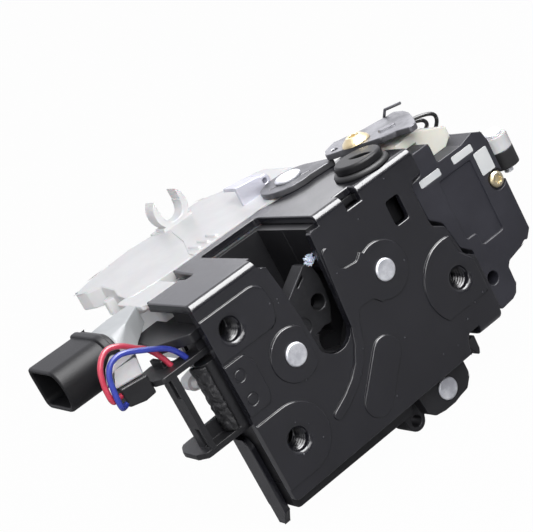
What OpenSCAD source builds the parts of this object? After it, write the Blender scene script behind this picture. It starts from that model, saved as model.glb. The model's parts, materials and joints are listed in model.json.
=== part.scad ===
// Door latch actuator: a side-door latch with its lock drive, seen from the door's shut face.
// X runs along the shut face, Y into the door and Z up. All lengths are in millimetres.
// Outlines are drawn from the pawl pivot, and the origin of the finished part is the axis of
// the lower fixing hole on the front of the latch plate.

/* [Latch plate] */
// Thickness of the pressed steel plate
plate_t = 2.4; // [1.6:0.1:3]
// Height of the pressed pads above the plate
pad_h = 0.8; // [0.4:0.1:1.2]
// Left edge of the plate, from the pawl pivot
plate_left = 60.3; // [59:0.1:64]
// Right edge of the plate, from the pawl pivot
plate_right = 31.5; // [30:0.1:36]
// Top of the folded flange, from the pawl pivot
plate_top = 26; // [25.5:0.1:29]
// Bottom edge of the plate, from the pawl pivot
plate_bottom = 39.8; // [39.5:0.1:44]
// Depth of the flange at its right end
flange_depth = 33.5; // [30:0.5:38]
// Width of the mouth that the striker enters
mouth_w = 23; // [20:0.5:24]
// Diameter of the window in front of the lock knob, across its width
window_w = 5.3; // [3:0.1:7]

/* [Fixing holes] */
// Bore of the threaded holes, for an M8 screw
thread_d = 6.8; // [6:0.1:7.5]
// Diameter of the countersunk mouth of each threaded hole
thread_mouth_d = 9.4; // [8.6:0.1:10]
// Outer diameter of the drawn collar behind each threaded hole
collar_d = 12; // [11:0.1:12.6]
// Length of the drawn collar behind the plate
collar_len = 6.6; // [4:0.1:8]
// Lower left hole, across
hole_e_x = -50.4; // [-52:0.1:-50]
// Lower left hole, up
hole_e_z = -25.5; // [-27:0.1:-24]
// Upper left hole, across
hole_f_x = -52.6; // [-54:0.1:-52]
// Upper left hole, up
hole_f_z = 13.6; // [13:0.1:15]
// Right hole, across
hole_b_x = 22.4; // [21:0.1:24]
// Right hole, up
hole_b_z = -17.1; // [-18:0.1:-16]

/* [Claw and pawl] */
// Thickness of the claw and the pawl
claw_t = 6; // [4:0.1:7]
// Outer radius of the claw
claw_r = 25; // [23:0.1:25.2]
// Claw pivot, across from the pawl pivot
claw_x = -38.8; // [-39.5:0.1:-38]
// Claw pivot, up from the pawl pivot
claw_z = -4.1; // [-5:0.1:-3.5]
// Diameter of the striker bar that the claw holds
striker_d = 7.3; // [6:0.1:7.6]
// Distance from the claw pivot to the striker bar
striker_reach = 16.7; // [16:0.1:17.4]
// Angle that the claw turns to let the striker go
claw_travel = 60; // [40:1:60]
// Angle that the pawl lifts while the claw turns
pawl_travel = 18; // [14:1:20]
// Depth that the pawl's nose drops into the claw
nose_bite = 2.4; // [1.6:0.1:3]
// Radius of the rounded nose of the pawl
nose_r = 2.2; // [1.6:0.1:2.6]
// Gap between pieces that turn on each other
run_gap = 0.05; // [0.03:0.01:0.08]
// Gap between the pawl and the notch that it drops into
notch_gap = 0.25; // [0.15:0.01:0.4]

/* [Rivets] */
// Shank diameter of the two pivot rivets
pivot_d = 6; // [5:0.1:6.6]
// Diameter of the rivet heads on the front
rivet_head_d = 7.2; // [6.9:0.1:8]
// Height of the rivet heads on the front
rivet_head_h = 0.9; // [0.5:0.1:1.4]
// Centre of the lower ear rivet, across
ear_x = 4; // [3:0.1:5]
// Centre of the lower ear rivet, up
ear_z = -45.7; // [-46.5:0.1:-45]

/* [Latch housing] */
// Wall of the moulded latch housing
tray_wall = 2; // [1.5:0.1:2.4]
// Inside depth of the latch housing behind the plate
tray_depth = 13; // [12.5:0.1:15]
// Depth of the striker pocket behind the latch housing
pocket_depth = 14; // [10:0.5:16]
// Thickness of the steel back plate
back_t = 2; // [1.5:0.1:2.5]
// Height of the left wall of the back plate
back_wall_depth = 8; // [5:0.5:9]

/* [Lock knob and levers] */
// Diameter of the lock knob
knob_d = 15.4; // [14:0.1:16]
// Height of the lock knob above its seal
knob_h = 2.6; // [1.5:0.1:4]
// Diameter of the rubber seal under the lock knob
seal_d = 18; // [17:0.1:19]
// Thickness of the rubber seal
seal_h = 1.6; // [1:0.1:2.2]
// Diameter of the knob's shaft inside the housing
knob_shaft_d = 9; // [7:0.1:10]
// Thickness of the release lever and the deck plate
lever_t = 2; // [1.5:0.1:2.2]

/* [Actuator housing] */
// Wall of the white actuator housing
shell_wall = 2; // [1.5:0.1:2.5]
// Depth of the white actuator housing below the pawl pivot
shell_bottom = 30; // [28:0.5:34]
// Back of the white actuator housing
shell_back = 78; // [77:0.5:84]

/* [Lock drive] */
// Module of the worm and its wheel
worm_m = 0.8; // [0.7:0.05:0.8]
// Teeth of the worm wheel
wheel_teeth = 30; // [26:1:32]
// Pitch diameter of the worm
worm_d = 7; // [6:0.1:8]
// Teeth of the pinion on the worm wheel
pinion_teeth = 12; // [12:1:14]
// Teeth of the full circle of the lock sector
sector_teeth = 60; // [56:1:60]
// Play between meshing teeth
tooth_play = 0.24; // [0.16:0.01:0.3]
// Diameter of the lock motor
motor_d = 19; // [16:0.5:19.5]
// Length of the lock motor
motor_len = 27; // [22:0.5:28]

/* [Connector and wires] */
// Depth of the connector shell, front to back
plug_w = 21; // [19:0.1:22]
// Height of the connector shell
plug_h = 13.5; // [12.5:0.1:14.5]
// Length of the connector shell
plug_len = 20; // [16:0.5:21]
// Wall of the connector shell
plug_wall = 1.4; // [1:0.1:1.8]
// Diameter of the red and blue wires
wire_d = 1.7; // [1.2:0.1:2]
// Diameter of the thin black wires
thin_wire_d = 1.3; // [0.9:0.1:1.5]

/* [Hidden] */
$fn = 48;
hull_fn = 32;
hole_e = [hole_e_x, hole_e_z];
hole_f = [hole_f_x, hole_f_z];
hole_b = [hole_b_x, hole_b_z];
fixings = [hole_e, hole_f, hole_b];
claw_pivot = [claw_x, claw_z];
ear_pivot = [ear_x, ear_z];
pawl_pivot = [0, 0];
// Thin overlap that makes a cut run past a face
skim = 1;
bend_r = plate_t + 0.1;
claw_front = plate_t + 3.1;
claw_back = claw_front + claw_t;
tray_in = plate_t + tray_depth;
tray_back = tray_in + tray_wall;
back_front = tray_back + 0.1;
back_back = back_front + back_t;
left = -plate_left;
mouth_left = -12.5 - mouth_w;
mouth_right = -12.5;
corner_r = 2;
black_steel = [0.13, 0.13, 0.15];
black_plastic = [0.1, 0.1, 0.11];
bright_zinc = [0.78, 0.78, 0.8];
yellow_zinc = [0.78, 0.72, 0.52];
grey_steel = [0.5, 0.5, 0.52];
ivory = [0.93, 0.91, 0.84];
white_plastic = [0.92, 0.92, 0.91];

function unit(v) = v / norm(v);
function polar(r, a) = r * [cos(a), sin(a)];
function turned(p, a) = [p[0] * cos(a) - p[1] * sin(a), p[0] * sin(a) + p[1] * cos(a)];
function flat(p) = [p[0], p[1]];
function sized(pts, k) = [for (p = pts) k * p];
// Points of a rounded corner at p, between the edges to a and to b, limited by their lengths
function corner(a, p, b, size, n) =
    let (u = unit(a - p), v = unit(b - p), half = acos(max(-1, min(1, u * v))) / 2,
         r = min(size, 0.49 * tan(half) * min(norm(a - p), norm(b - p))),
         o = p + unit(u + v) * r / sin(half), s = p + u * r / tan(half) - o,
         e = p + v * r / tan(half) - o, start = atan2(s[1], s[0]),
         sweep = (atan2(e[1], e[0]) - start + 540) % 360 - 180)
    [for (i = [0:n]) o + polar(r, start + sweep * i / n)];
// Outline through [x, y, radius] points, with an arc at each corner that has a radius
function rounded(pts, n = 5) =
    let (count = len(pts))
    [for (i = [0:count - 1])
        let (p = pts[i], a = pts[(i + count - 1) % count], b = pts[(i + 1) % count])
        each p[2] > 0 ? corner(flat(a), flat(p), flat(b), p[2], n) : [flat(p)]];
// Outline round two circles, of radius ra at a and rb at b, and the tangents between them
function strap(a, ra, b, rb, n = 10) =
    let (dir = atan2(b[1] - a[1], b[0] - a[0]), lean = acos((ra - rb) / norm(b - a)))
    concat(arc(b, rb, dir - lean, dir + lean, n), arc(a, ra, dir + lean, dir + 360 - lean, n));
function arc(c, r, from, to, n) = [for (i = [0:n]) c + polar(r, from + (to - from) * i / n)];

// Strip of width w along a path, with round ends
function band(path, w) =
    let (n = len(path), dirs = [for (i = [0:n - 1])
            let (t = path[min(i + 1, n - 1)] - path[max(i - 1, 0)]) atan2(t[1], t[0])])
    concat([for (i = [1:n - 2]) path[i] + polar(w / 2, dirs[i] + 90)],
           arc(path[n - 1], w / 2, dirs[n - 1] + 90, dirs[n - 1] - 90, 8),
           [for (i = [n - 2:-1:1]) path[i] + polar(w / 2, dirs[i] - 90)],
           arc(path[0], w / 2, dirs[0] - 90, dirs[0] - 270, 8));

// Moves a piece from the pawl pivot's axes to the finished part's origin
module at_frame() { translate([-hole_e_x, 0, -hole_e_z]) children(); }
// Plate parallel to the shut face, from an outline in X and Z
module slab(y0, t) { translate([0, y0 + t, 0]) rotate([90, 0, 0]) linear_extrude(t) children(); }
// Plate parallel to the flange, from an outline in X and Y
module deck(z0, t) { translate([0, 0, z0]) linear_extrude(t) children(); }
// Plate across the part, from an outline in Y and Z
module rib(x0, t) { translate([x0, 0, 0]) rotate([90, 0, 90]) linear_extrude(t) children(); }
module pin(p, d, y0, y1) {
    translate([p[0], y1, p[1]]) rotate([90, 0, 0]) cylinder(d = d, h = y1 - y0);
}
module cone_pin(p, d0, d1, y0, y1) {
    translate([p[0], y1, p[1]]) rotate([90, 0, 0]) cylinder(d1 = d1, d2 = d0, h = y1 - y0);
}
module block(x0, x1, y0, y1, z0, z1) { translate([x0, y0, z0]) cube([x1 - x0, y1 - y0, z1 - z0]); }
module strap_2d(a, ra, b, rb) { polygon(strap(a, ra, b, rb)); }
// Tube of diameter d along a list of points, as one closed mesh
module tube(path, d, sides = 8) {
    n = len(path);
    tangents = [for (i = [0:n - 1]) unit(path[min(i + 1, n - 1)] - path[max(i - 1, 0)])];
    function side(t) = unit(cross(t, abs(t[2]) < 0.8 ? [0, 0, 1] : [1, 0, 0]));
    function carried(v, t) = unit(v - t * (v * t));
    normals = [for (i = 0, v = side(tangents[0]); i < n;
                    i = i + 1, v = i < n ? carried(v, tangents[i]) : v) v];
    points = [for (i = [0:n - 1], k = [0:sides - 1])
        path[i] + d / 2 * (cos(360 * k / sides) * normals[i]
                           + sin(360 * k / sides) * cross(tangents[i], normals[i]))];
    walls = [for (i = [0:n - 2], k = [0:sides - 1])
        let (m = (k + 1) % sides)
        [i * sides + k, (i + 1) * sides + k, (i + 1) * sides + m, i * sides + m]];
    polyhedron(points, concat(walls, [[for (k = [0:sides - 1]) k]],
                              [[for (k = [sides - 1:-1:0]) (n - 1) * sides + k]]));
}
// Smooth curve through hand-picked points, with a few steps between each pair
function smooth(p, steps = 3) =
    let (n = len(p))
    [for (i = [0:n - 2], k = [0:i == n - 2 ? steps : steps - 1])
        let (t = k / steps, a = p[max(i - 1, 0)], b = p[i], c = p[i + 1], d = p[min(i + 2, n - 1)])
        0.5 * (2 * b + (c - a) * t + (2 * a - 5 * b + 4 * c - d) * t * t
               + (3 * b - a - 3 * c + d) * t * t * t)];

// Lower edge beside the lug, and the lug's outer bend
lug_top = -33.8;
lug_bend = 3.4;
// Outline of the front of the plate, from the fold down
face_pts = [[left, plate_top, 0], [left, -plate_bottom - 1, 1.5], [14.5, -plate_bottom, 0.5],
            [15.3, -36, 1.5], [17, lug_top, 0.5], [plate_right - 0.5, lug_top, 0],
            [plate_right, -32, 0.5], [plate_right, -14.5, 1],
            [28, -12, 2], [26.2, -1, 2], [22, 1.6, 2], [21.8, 15, 1], [23.2, 16.9, 0.5],
            [26.8, 17, 1.2], [26.8, plate_top, 0]];
// Outline of the flange that is folded into the door, seen from above
flange_pts = [[left, 0, 0], [left, 26.5, 1], [-47, 26.5, 0.5], [-47, 22.5, 0.5],
              [-44.5, 22.5, 0.5], [-43.5, 37.3, 1], [-8, flange_depth + 4.3, 2],
              [2.5, flange_depth, 1], [26.8, flange_depth, 2], [26.8, 0, 0]];
mouth_flange_pts = [[mouth_left, -skim, 0], [mouth_left, 33, corner_r],
                    [mouth_right, 33, corner_r], [mouth_right, -skim, 0]];
mouth_pts = concat([[mouth_left - 1.4, plate_top + skim], [mouth_left - 1, 23.5],
                    [mouth_left + 1.8, 22], [mouth_left + 3, 14], [mouth_left + 4.2, 3]],
                   arc([-24.7, -5.6], 6.5, 200, 340, 12),
                   [[-17.6, 4], [-16.5, 22], [mouth_right, plate_top - 1.6],
                    [mouth_right, plate_top + skim]]);
pad_f_pts = [[left, 20.5, 0], [left, 6.6, 0], [-39.5, 6.6, 3], [-37.2, 12, 6], [-38, 20.5, 5]];
pad_left_pts = [[left, 5.5, 0], [left, -11.2, 0], [-52.5, -11.2, 1.5], [-51, -8, 1.5],
                [-51, 2, 1.5], [-53, 5.5, 1.5]];
// Middle of the long curved bead, from its top end beside the mouth to its lower tip
bead_path = [[-14.7, 14.6], [-15.4, 9], [-16, 3], [-16.6, -3], [-17.3, -9], [-19, -14],
             [-22, -18.8], [-26, -22.4], [-30.6, -25.2], [-35.6, -27.4]];
bead_w = 3.2;
// Web between the bead and the pawl's boss
web_pts = [[-15.6, 10.4, 0], [-13.4, 10.4, 0], [-12.6, 7.9, 2], [-7.2, 7.2, 2], [-5, 9, 0],
           [0, 5, 0], [0, -5, 0], [-5.4, -8, 0], [-7.6, -5.2, 2], [-13.6, -4.8, 2],
           [-15, -7.6, 0], [-17, -7.6, 0]];

module pads_2d() {
    polygon(rounded(pad_f_pts));
    polygon(rounded(pad_left_pts));
    intersection() {
        translate([left, -plate_bottom]) square([30, 30]);
        union() {
            translate(hole_e) circle(11);
            translate([left, hole_e_z - 11]) square([plate_left + hole_e_x, 22]);
        }
    }
    difference() {
        translate(claw_pivot) circle(8.3);
        translate([-33, -20]) square([9, 40]);
    }
    intersection() {
        translate(hole_b) circle(13.5);
        polygon(rounded([[8, -2.6, 0], [25.2, -2.6, 1], [26.2, -10, 1], [plate_right - 1.6, -14.8, 1],
                         [plate_right - 1.6, -26.2, 1.5], [8, -26.2, 0]]));
    }
    translate(pawl_pivot) circle(9);
    polygon(band(bead_path, bead_w));
    polygon(rounded(web_pts));
    strap_2d([-11.7, -21.2], 5.1, [-21.8, -32], 5.1);
}

// Pressed steel plate that carries the lock: shut face, raised pads, drawn collars, folded flange
module latch_plate() {
    color(black_steel) at_frame() difference() {
        union() {
            slab(0, plate_t) polygon(rounded(face_pts, 4));
            slab(-pad_h, pad_h) pads_2d();
            deck(plate_top - plate_t, plate_t) polygon(rounded(flange_pts, 4));
            for (p = fixings) pin(p, collar_d, plate_t - 0.1, plate_t + collar_len);
            // Lug at the lower right, turned back into the door
            rib(21.3, plate_right - 21.8) polygon(concat([[0, lug_top + skim], [0, lug_top]],
                arc([lug_bend, lug_top], lug_bend, 180, 270, 6), [[8, lug_top - lug_bend],
                [8, lug_top - lug_bend + plate_t], [plate_t + 0.6, lug_top - lug_bend + plate_t],
                [plate_t, lug_top], [plate_t, lug_top + skim]]));
        }
        // Rounded outside of the fold
        rib(left - skim, plate_left + plate_right + 2 * skim)
            polygon(concat([[bend_r, plate_top + skim], [-pad_h - skim, plate_top + skim],
                            [-pad_h - skim, plate_top - bend_r]],
                           arc([bend_r, plate_top - bend_r], bend_r, 180, 90, 8)));
        slab(-pad_h - skim, plate_t + pad_h + 2 * skim) polygon(mouth_pts);
        deck(plate_top - plate_t - skim, plate_t + 2 * skim) polygon(rounded(mouth_flange_pts, 4));
        for (p = fixings) {
            pin(p, thread_d, -pad_h - skim, plate_t + collar_len + skim);
            cone_pin(p, thread_mouth_d, thread_d, -pad_h, 0);
        }
        for (p = [pawl_pivot, claw_pivot]) pin(p, pivot_d, -pad_h - skim, plate_t + skim);
        // Window in front of the knob's shaft
        slab(-pad_h - skim, plate_t + pad_h + 2 * skim)
            polygon(rounded([[11, 8.2, 1], [11, 16.3, 1], [11 + window_w, 16.3, 1],
                             [11 + window_w, 8.2, 1]], 4));
        // Relief notch in the fold
        block(-1.6, 4.2, -skim, plate_t + 2, 21.3, plate_top + skim);
        // Hole for the knob's shaft
        translate([knob_at[0], knob_at[1], plate_top - plate_t - skim])
            cylinder(d = knob_shaft_d + 2 * run_gap, h = plate_t + 2 * skim);
        // Slot for the release lever's screw
        block(lever_pivot[0], 30, lever_pivot[1] - lever_screw_d / 2,
              lever_pivot[1] + lever_screw_d / 2, plate_top - plate_t - skim, plate_top + skim);
        translate([lever_pivot[0], lever_pivot[1], plate_top - plate_t - skim])
            cylinder(d = lever_screw_d, h = plate_t + 2 * skim);
        // Gauge marks pressed into the left pad
        for (z = [1.1, -6.8]) difference() {
            pin([-57.2, z], 4, -pad_h - skim, 0.3 - pad_h);
            pin([-57.2, z], 3, -pad_h - skim, plate_t);
        }
    }
}

knob_at = [15.2, 10];

module pivot_rivet(p, head_d, head_y, tail_y) {
    pin(p, pivot_d, head_y, tail_y);
    translate([p[0], head_y, p[1]]) rotate([90, 0, 0]) {
        cylinder(d = head_d, h = rivet_head_h * 0.6);
        translate([0, 0, rivet_head_h * 0.6])
            cylinder(d1 = head_d, d2 = head_d - 1.2, h = rivet_head_h * 0.4);
    }
    pin(p, head_d + 2, tail_y, tail_y + 1.2);
}
// Shouldered pin that the claw turns on
module claw_rivet() {
    color(bright_zinc) at_frame() pivot_rivet(claw_pivot, rivet_head_d, -pad_h, back_back);
}
// Shouldered pin that the pawl turns on
module pawl_rivet() {
    color(bright_zinc) at_frame()
        pivot_rivet(pawl_pivot, rivet_head_d - 0.2, -pad_h, back_back);
}
// Rivet that holds the lower ear of the housing to the back plate
module ear_rivet() {
    color(bright_zinc) at_frame() pivot_rivet(ear_pivot, rivet_head_d, ear_front, back_back);
}
ear_front = 5;

throat_angle = -18;
throat_w = striker_d + 1;
striker_at = claw_pivot + polar(striker_reach, throat_angle);
nose_angle = -45;
nose_at = claw_pivot + polar(claw_r - nose_bite + nose_r, nose_angle);
claw_hub_r = 8.5;
pawl_hub_r = 7;
pawl_arm_r = 4;
sleeve_r = 5;
spring_wire = 1;
coil_r = sleeve_r + 0.6 + spring_wire / 2;
claw_low_edge = -85;
// Upper tooth, from the claw's pivot, drawn for a claw of this radius
drawn_claw_r = 25;
tooth_pts = sized([[-2, 4, 0], [9.5, 12.4, 1], [14.3, 15.5, 3], [18.6, 18.2, 1], [20.9, 17.2, 1.2],
                   [21.8, 13, 2], [21.6, 7.7, 3], [20.8, 3.1, 3], [18.4, -1.4, 0], [-2, -2, 0]],
                  claw_r / drawn_claw_r);
// Steps that trace the pawl's way out of the claw
notch_steps = 10;

// Radius that the upper tooth's tip sweeps
claw_reach = claw_r / drawn_claw_r * norm([20.9, 17.2]);

module claw_2d() {
    difference() {
        union() {
            translate(claw_pivot) circle(claw_hub_r);
            intersection() {
                translate(claw_pivot) circle(claw_r);
                translate(claw_pivot)
                    polygon([[-2, -2], polar(claw_r * 1.2, claw_low_edge), polar(claw_r * 2, -40),
                             polar(claw_r * 2, throat_angle), [-2, 4]]);
            }
            translate(claw_pivot) polygon(rounded(tooth_pts));
        }
        // Throat that takes the striker bar
        strap_2d(striker_at, throat_w / 2, claw_pivot + polar(claw_r * 2, throat_angle), throat_w / 2);
        // Notch for the pawl: the room that its arm sweeps as it lifts and the claw turns
        for (i = [0:notch_steps])
            let (a = claw_travel / 2 * i / notch_steps)
            translate(claw_pivot) rotate(-a) translate(-claw_pivot)
                rotate(pawl_travel / claw_travel * a)
                    strap_2d(nose_at, nose_r + notch_gap, pawl_pivot, pawl_arm_r + notch_gap);
        translate(claw_pivot + [17.5, 6.3]) circle(2.4);
        translate(claw_pivot) strap_2d([13.9, 13.8], 0.3, [16.5, 15.3], 0.3);
        translate(claw_pivot) circle(d = pivot_d + 2 * run_gap);
    }
}
module sleeve(p) {
    difference() {
        pin(p, 2 * sleeve_r, plate_t + run_gap, tray_in - run_gap);
        pin(p, pivot_d + 2 * run_gap, plate_t, tray_in);
    }
}
spring_post = 2;
claw_spring_start = -30;
// Turns of the coils, which end a quarter turn after they start
spring_turns = 2.25;
// Posts stand beside the legs of the springs, s millimetres along the leg that leaves at angle a
post_reach = coil_r + spring_wire / 2 + spring_post / 2 + 0.1;
function by_leg(a, s) = polar(norm([post_reach, s]), a + atan2(s, post_reach));
claw_post = claw_pivot + by_leg(claw_spring_start, -7);
tray_post = claw_pivot + by_leg(claw_spring_start + 90, 7);
// Rotary claw that holds the striker, with a sleeve for its rivet and a post for its spring
module claw() {
    color([0.2, 0.2, 0.22]) at_frame() {
        difference() {
            slab(claw_front, claw_t) claw_2d();
            // Shallow round recess in the claw's coat
            pin(claw_pivot + [9.6, 2.6], 5.2, claw_front - skim, claw_front + 0.3);
        }
        sleeve(claw_pivot);
        pin(claw_post, spring_post, claw_back - 0.1, tray_in - 0.4);
    }
}
module pawl_2d() {
    difference() {
        union() {
            circle(pawl_hub_r);
            strap_2d(nose_at, nose_r, pawl_pivot, pawl_arm_r);
            strap_2d(pawl_pivot, pawl_hub_r - 0.6, [11.5, -4], 2.5);
        }
        circle(d = pivot_d + 2 * run_gap);
    }
}
pawl_spring_start = 120;
pawl_post = by_leg(pawl_spring_start + 90, 6);
// Pawl that drops into the claw and holds it shut, with the tail that the release lever works
module pawl() {
    color(grey_steel) at_frame() {
        slab(claw_front, claw_t) pawl_2d();
        sleeve(pawl_pivot);
        pin(pawl_post, spring_post, claw_back - 0.1, tray_in - 0.4);
    }
}
// Coil around a sleeve, with one leg against a post and one leg against the housing
module coil_spring(c, turns, from, leg_a, leg_b) {
    steps = 20;
    y0 = claw_back + 0.2 + spring_wire / 2;
    lift = (tray_in - claw_back - 0.4 - spring_wire) / (turns * steps);
    function at(r, a, y) = [c[0] + r * cos(a), y, c[1] + r * sin(a)];
    turn = [for (i = [0:turns * steps]) at(coil_r, from + 360 * i / steps, y0 + lift * i)];
    end = from + 360 * turns;
    tube(concat([at(coil_r, from, y0) + leg_a * [sin(from), 0, -cos(from)]], turn,
                [at(coil_r, end, y0 + lift * turns * steps) + leg_b * [-sin(end), 0, cos(end)]]),
         spring_wire);
}
// Spring that turns the claw open
module claw_spring() {
    color(grey_steel) at_frame() coil_spring(claw_pivot, spring_turns, claw_spring_start, 8, 8);
}
// Spring that turns the pawl towards the claw
module pawl_spring() {
    color(grey_steel) at_frame() coil_spring(pawl_pivot, spring_turns, pawl_spring_start, 6, 7);
}
stop_d = 6;
stop_core_d = 3;
stop_reach = 17;
arm_angle = atan2(nose_at[1], nose_at[0]);
arm_half = pawl_arm_r - (pawl_arm_r - nose_r) * stop_reach / norm(nose_at);
// The stop stands where the pawl's arm comes to rest
stop_at = polar(stop_reach, arm_angle + pawl_travel
                + asin((arm_half + stop_d / 2 + 2 * notch_gap) / stop_reach));
// Rubber stop that the pawl's arm meets when it has lifted
module bump_stop() {
    color([0.08, 0.08, 0.08]) at_frame() difference() {
        pin(stop_at, stop_d, claw_front, tray_in);
        pin(stop_at, stop_core_d, claw_front - skim, tray_in + skim);
    }
}

tray_left = left + 2.3;
tray_right = 23.2;
foot_right = 16.6;
foot_top = -33.5;
tray_low = -plate_bottom + 1.8;
tray_top = plate_top - plate_t - 0.2;
lip_low = -46.6;
tray_pts = [[tray_left, tray_top, 1], [tray_left, tray_low, 2], [foot_right, tray_low, 2],
            [foot_right, foot_top, 1], [tray_right, foot_top, 2], [tray_right, tray_top, 1]];
tray_inner_pts = [[tray_left + tray_wall, tray_top - tray_wall, 0.5],
                  [tray_left + tray_wall, tray_low + tray_wall, 1],
                  [foot_right - tray_wall, tray_low + tray_wall, 1],
                  [foot_right - tray_wall, foot_top + tray_wall, 1],
                  [tray_right - tray_wall, foot_top + tray_wall, 1],
                  [tray_right - tray_wall, tray_top - tray_wall, 0.5]];
ear_pts = [[-7.1, tray_low, 0], [-6, -48.3, 2], [-3.8, -50.6, 2], [0, -51.3, 3], [4.5, -51.3, 3],
           [7, -50.7, 2], [10.6, -50.2, 2], [12.6, -48, 2], [13.6, -46, 2], [13.6, tray_low, 0]];
// The pocket stands clear of the claw rivet's tail
pocket_left = claw_x + rivet_head_d / 2 + 1.4;
pocket_right = mouth_right - 1.7;
pocket_low = -13.5;
pocket_back = tray_in + tray_wall + pocket_depth;
pocket_wall = 1.6;
roof_back = 32;
roof_low = 14;

module collar_room(extra) {
    for (p = fixings) pin(p, collar_d + extra, plate_t - skim, tray_back + skim);
}
// Moulded tray behind the plate, with the striker pocket, the lower lip and the rivet ear
module latch_housing() {
    color(black_plastic) at_frame() difference() {
        union() {
            slab(plate_t, tray_back - plate_t) polygon(rounded(tray_pts));
            // Lower lip and the ear that the third rivet holds
            slab(8, tray_back - 8) polygon(rounded([[tray_left, tray_low + skim, 0],
                [tray_left, lip_low, 2], [-9, lip_low, 2], [-6, tray_low + skim, 0]]));
            slab(ear_front, tray_back - ear_front) polygon(rounded(ear_pts));
            slab(9, tray_back - 9) strap_2d([-8, -44], 4.5, [-8.6, -49.6], 3.4);
            // Striker pocket, closed at the back
            block(pocket_left, pocket_right, tray_back - 0.5, pocket_back, pocket_low, tray_top);
            // Room under the flange
            block(tray_left, tray_right, tray_back - 0.5, roof_back, roof_low, tray_top);
            // Hooked rib at the lower right corner
            slab(plate_t, 3.6) polygon(rounded([[foot_right - 1, -37, 0], [19.6, -36, 0.5],
                [19.4, -40.8, 2], [18.4, -43, 0.5], [foot_right - 1, tray_low, 0]]));
            // Boss for the release lever's screw
            translate([lever_pivot[0], lever_pivot[1], 16])
                cylinder(d = 8, h = plate_top - plate_t - 16);
        }
        difference() {
            slab(plate_t - skim, tray_depth + skim) polygon(rounded(tray_inner_pts));
            // Wall beside the mouth and posts for the springs
            block(mouth_right - 3.2, mouth_right - 1.6, plate_t, tray_in, 6, tray_top);
            pin(stop_at, stop_core_d, claw_front + skim, tray_in + skim);
            pin(tray_post, spring_post, claw_back + 0.6, tray_in + skim);
        }
        collar_room(0.6);
        // Room for the claw's swing
        intersection() {
            pin(claw_pivot, 2 * (claw_reach + 0.5), claw_front - 0.4, claw_back + 0.4);
            block(tray_left + tray_wall, mouth_right, 0, tray_back, tray_low + tray_wall, plate_top);
        }
        for (p = [pawl_pivot, claw_pivot, ear_pivot])
            pin(p, pivot_d, plate_t, tray_back + skim);
        pin([-8.6, -49.6], 3.8, 8, tray_back + skim);
        // Inside of the striker pocket, open to the mouth
        block(pocket_left + pocket_wall, pocket_right - pocket_wall, plate_t - skim,
              pocket_back - pocket_wall, pocket_low + pocket_wall, plate_top);
        block(mouth_left, mouth_right - 3.2, plate_t - skim, tray_in, 6, plate_top);
        // Hollows under the flange, beside the pocket
        block(tray_left - skim, pocket_left - pocket_wall, tray_back + 0.6, roof_back + skim,
              roof_low + tray_wall, tray_top - tray_wall);
        block(pocket_right + pocket_wall, tray_right - tray_wall, tray_back + 0.6,
              roof_back + skim, roof_low + tray_wall, tray_top - tray_wall);
        // Knob shaft and window
        translate([knob_at[0], knob_at[1], 0]) cylinder(d = knob_shaft_d + 2 * run_gap, h = plate_top);
        // Relief notch in the fold
        block(-1.6, 4.2, -skim, plate_t + 2, 21.3, plate_top);
        translate([lever_pivot[0], lever_pivot[1], 17]) cylinder(d = lever_screw_d, h = plate_top);
    }
}
back_top = 13;
back_low = -47.5;
back_right = tray_right;
// Steel plate behind the housing that ties the rivets together
module back_plate() {
    color(black_steel) at_frame() difference() {
        union() {
            slab(back_front, back_t) polygon(rounded([[left, back_top, 2], [left, back_low, 3],
                [-12, back_low, 3], [-7.1, -50, 2], [0, -51.3, 3], [9, -50.7, 3], [13.6, -47, 2],
                [15, tray_low, 2], [foot_right, tray_low, 2], [foot_right, foot_top, 1],
                [back_right, foot_top, 2], [back_right, back_top, 3]]));
            // Left wall, bent forward
            rib(left, back_t) polygon(rounded([[back_back - 0.5, -21, 0],
                [back_back - back_wall_depth + 2, -21, 0.5], [back_back - back_wall_depth, -24, 0.5],
                [back_back - back_wall_depth, back_low + 1, 0.5], [back_back - 4, back_low - 4, 0.5],
                [back_back - 0.5, back_low - 4, 0.5]]));
        }
        for (p = [pawl_pivot, claw_pivot, ear_pivot]) pin(p, pivot_d, back_front - skim, back_back + skim);
        collar_holes(thread_d + 2);
        slab(back_front - skim, back_t + 2 * skim) polygon([[pocket_left - 0.2, back_top + skim],
            [pocket_left - 0.2, pocket_low - 0.2], [pocket_right + 0.2, pocket_low - 0.2],
            [pocket_right + 0.2, back_top + skim]]);
    }
}
module collar_holes(d) { for (p = fixings) pin(p, d, back_front - skim, back_back + skim); }

seal_top = plate_top + seal_h;
// Child-lock knob with a coin slot and its shaft into the housing
module lock_knob() {
    color(black_plastic) at_frame() translate([knob_at[0], knob_at[1], 0]) difference() {
        union() {
            translate([0, 0, seal_top + run_gap]) cylinder(d = knob_d, h = knob_h - 0.6);
            translate([0, 0, seal_top + knob_h - 0.6 + run_gap])
                cylinder(d1 = knob_d, d2 = knob_d - 1.2, h = 0.6);
            translate([0, 0, 7]) cylinder(d = knob_shaft_d, h = seal_top - 7 + 2 * run_gap);
        }
        // Coin slot
        translate([0.3, -1.5, seal_top + knob_h - 1.4]) rotate([0, 0, -66]) linear_extrude(3)
            intersection() {
                translate([0, 5.8]) circle(7.2);
                translate([0, -5.8]) circle(7.2);
            }
    }
}
// Rubber ring between the knob and the flange
module knob_seal() {
    color([0.07, 0.07, 0.07]) at_frame() translate([knob_at[0], knob_at[1], plate_top])
        rotate_extrude() polygon([[knob_shaft_d / 2 + 0.3, 0], [seal_d / 2, 0],
            [seal_d / 2, seal_h * 0.6], [seal_d / 2 - 0.6, seal_h], [knob_shaft_d / 2 + 0.3, seal_h]]);
}
deck_at = [8, 40.6];
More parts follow.
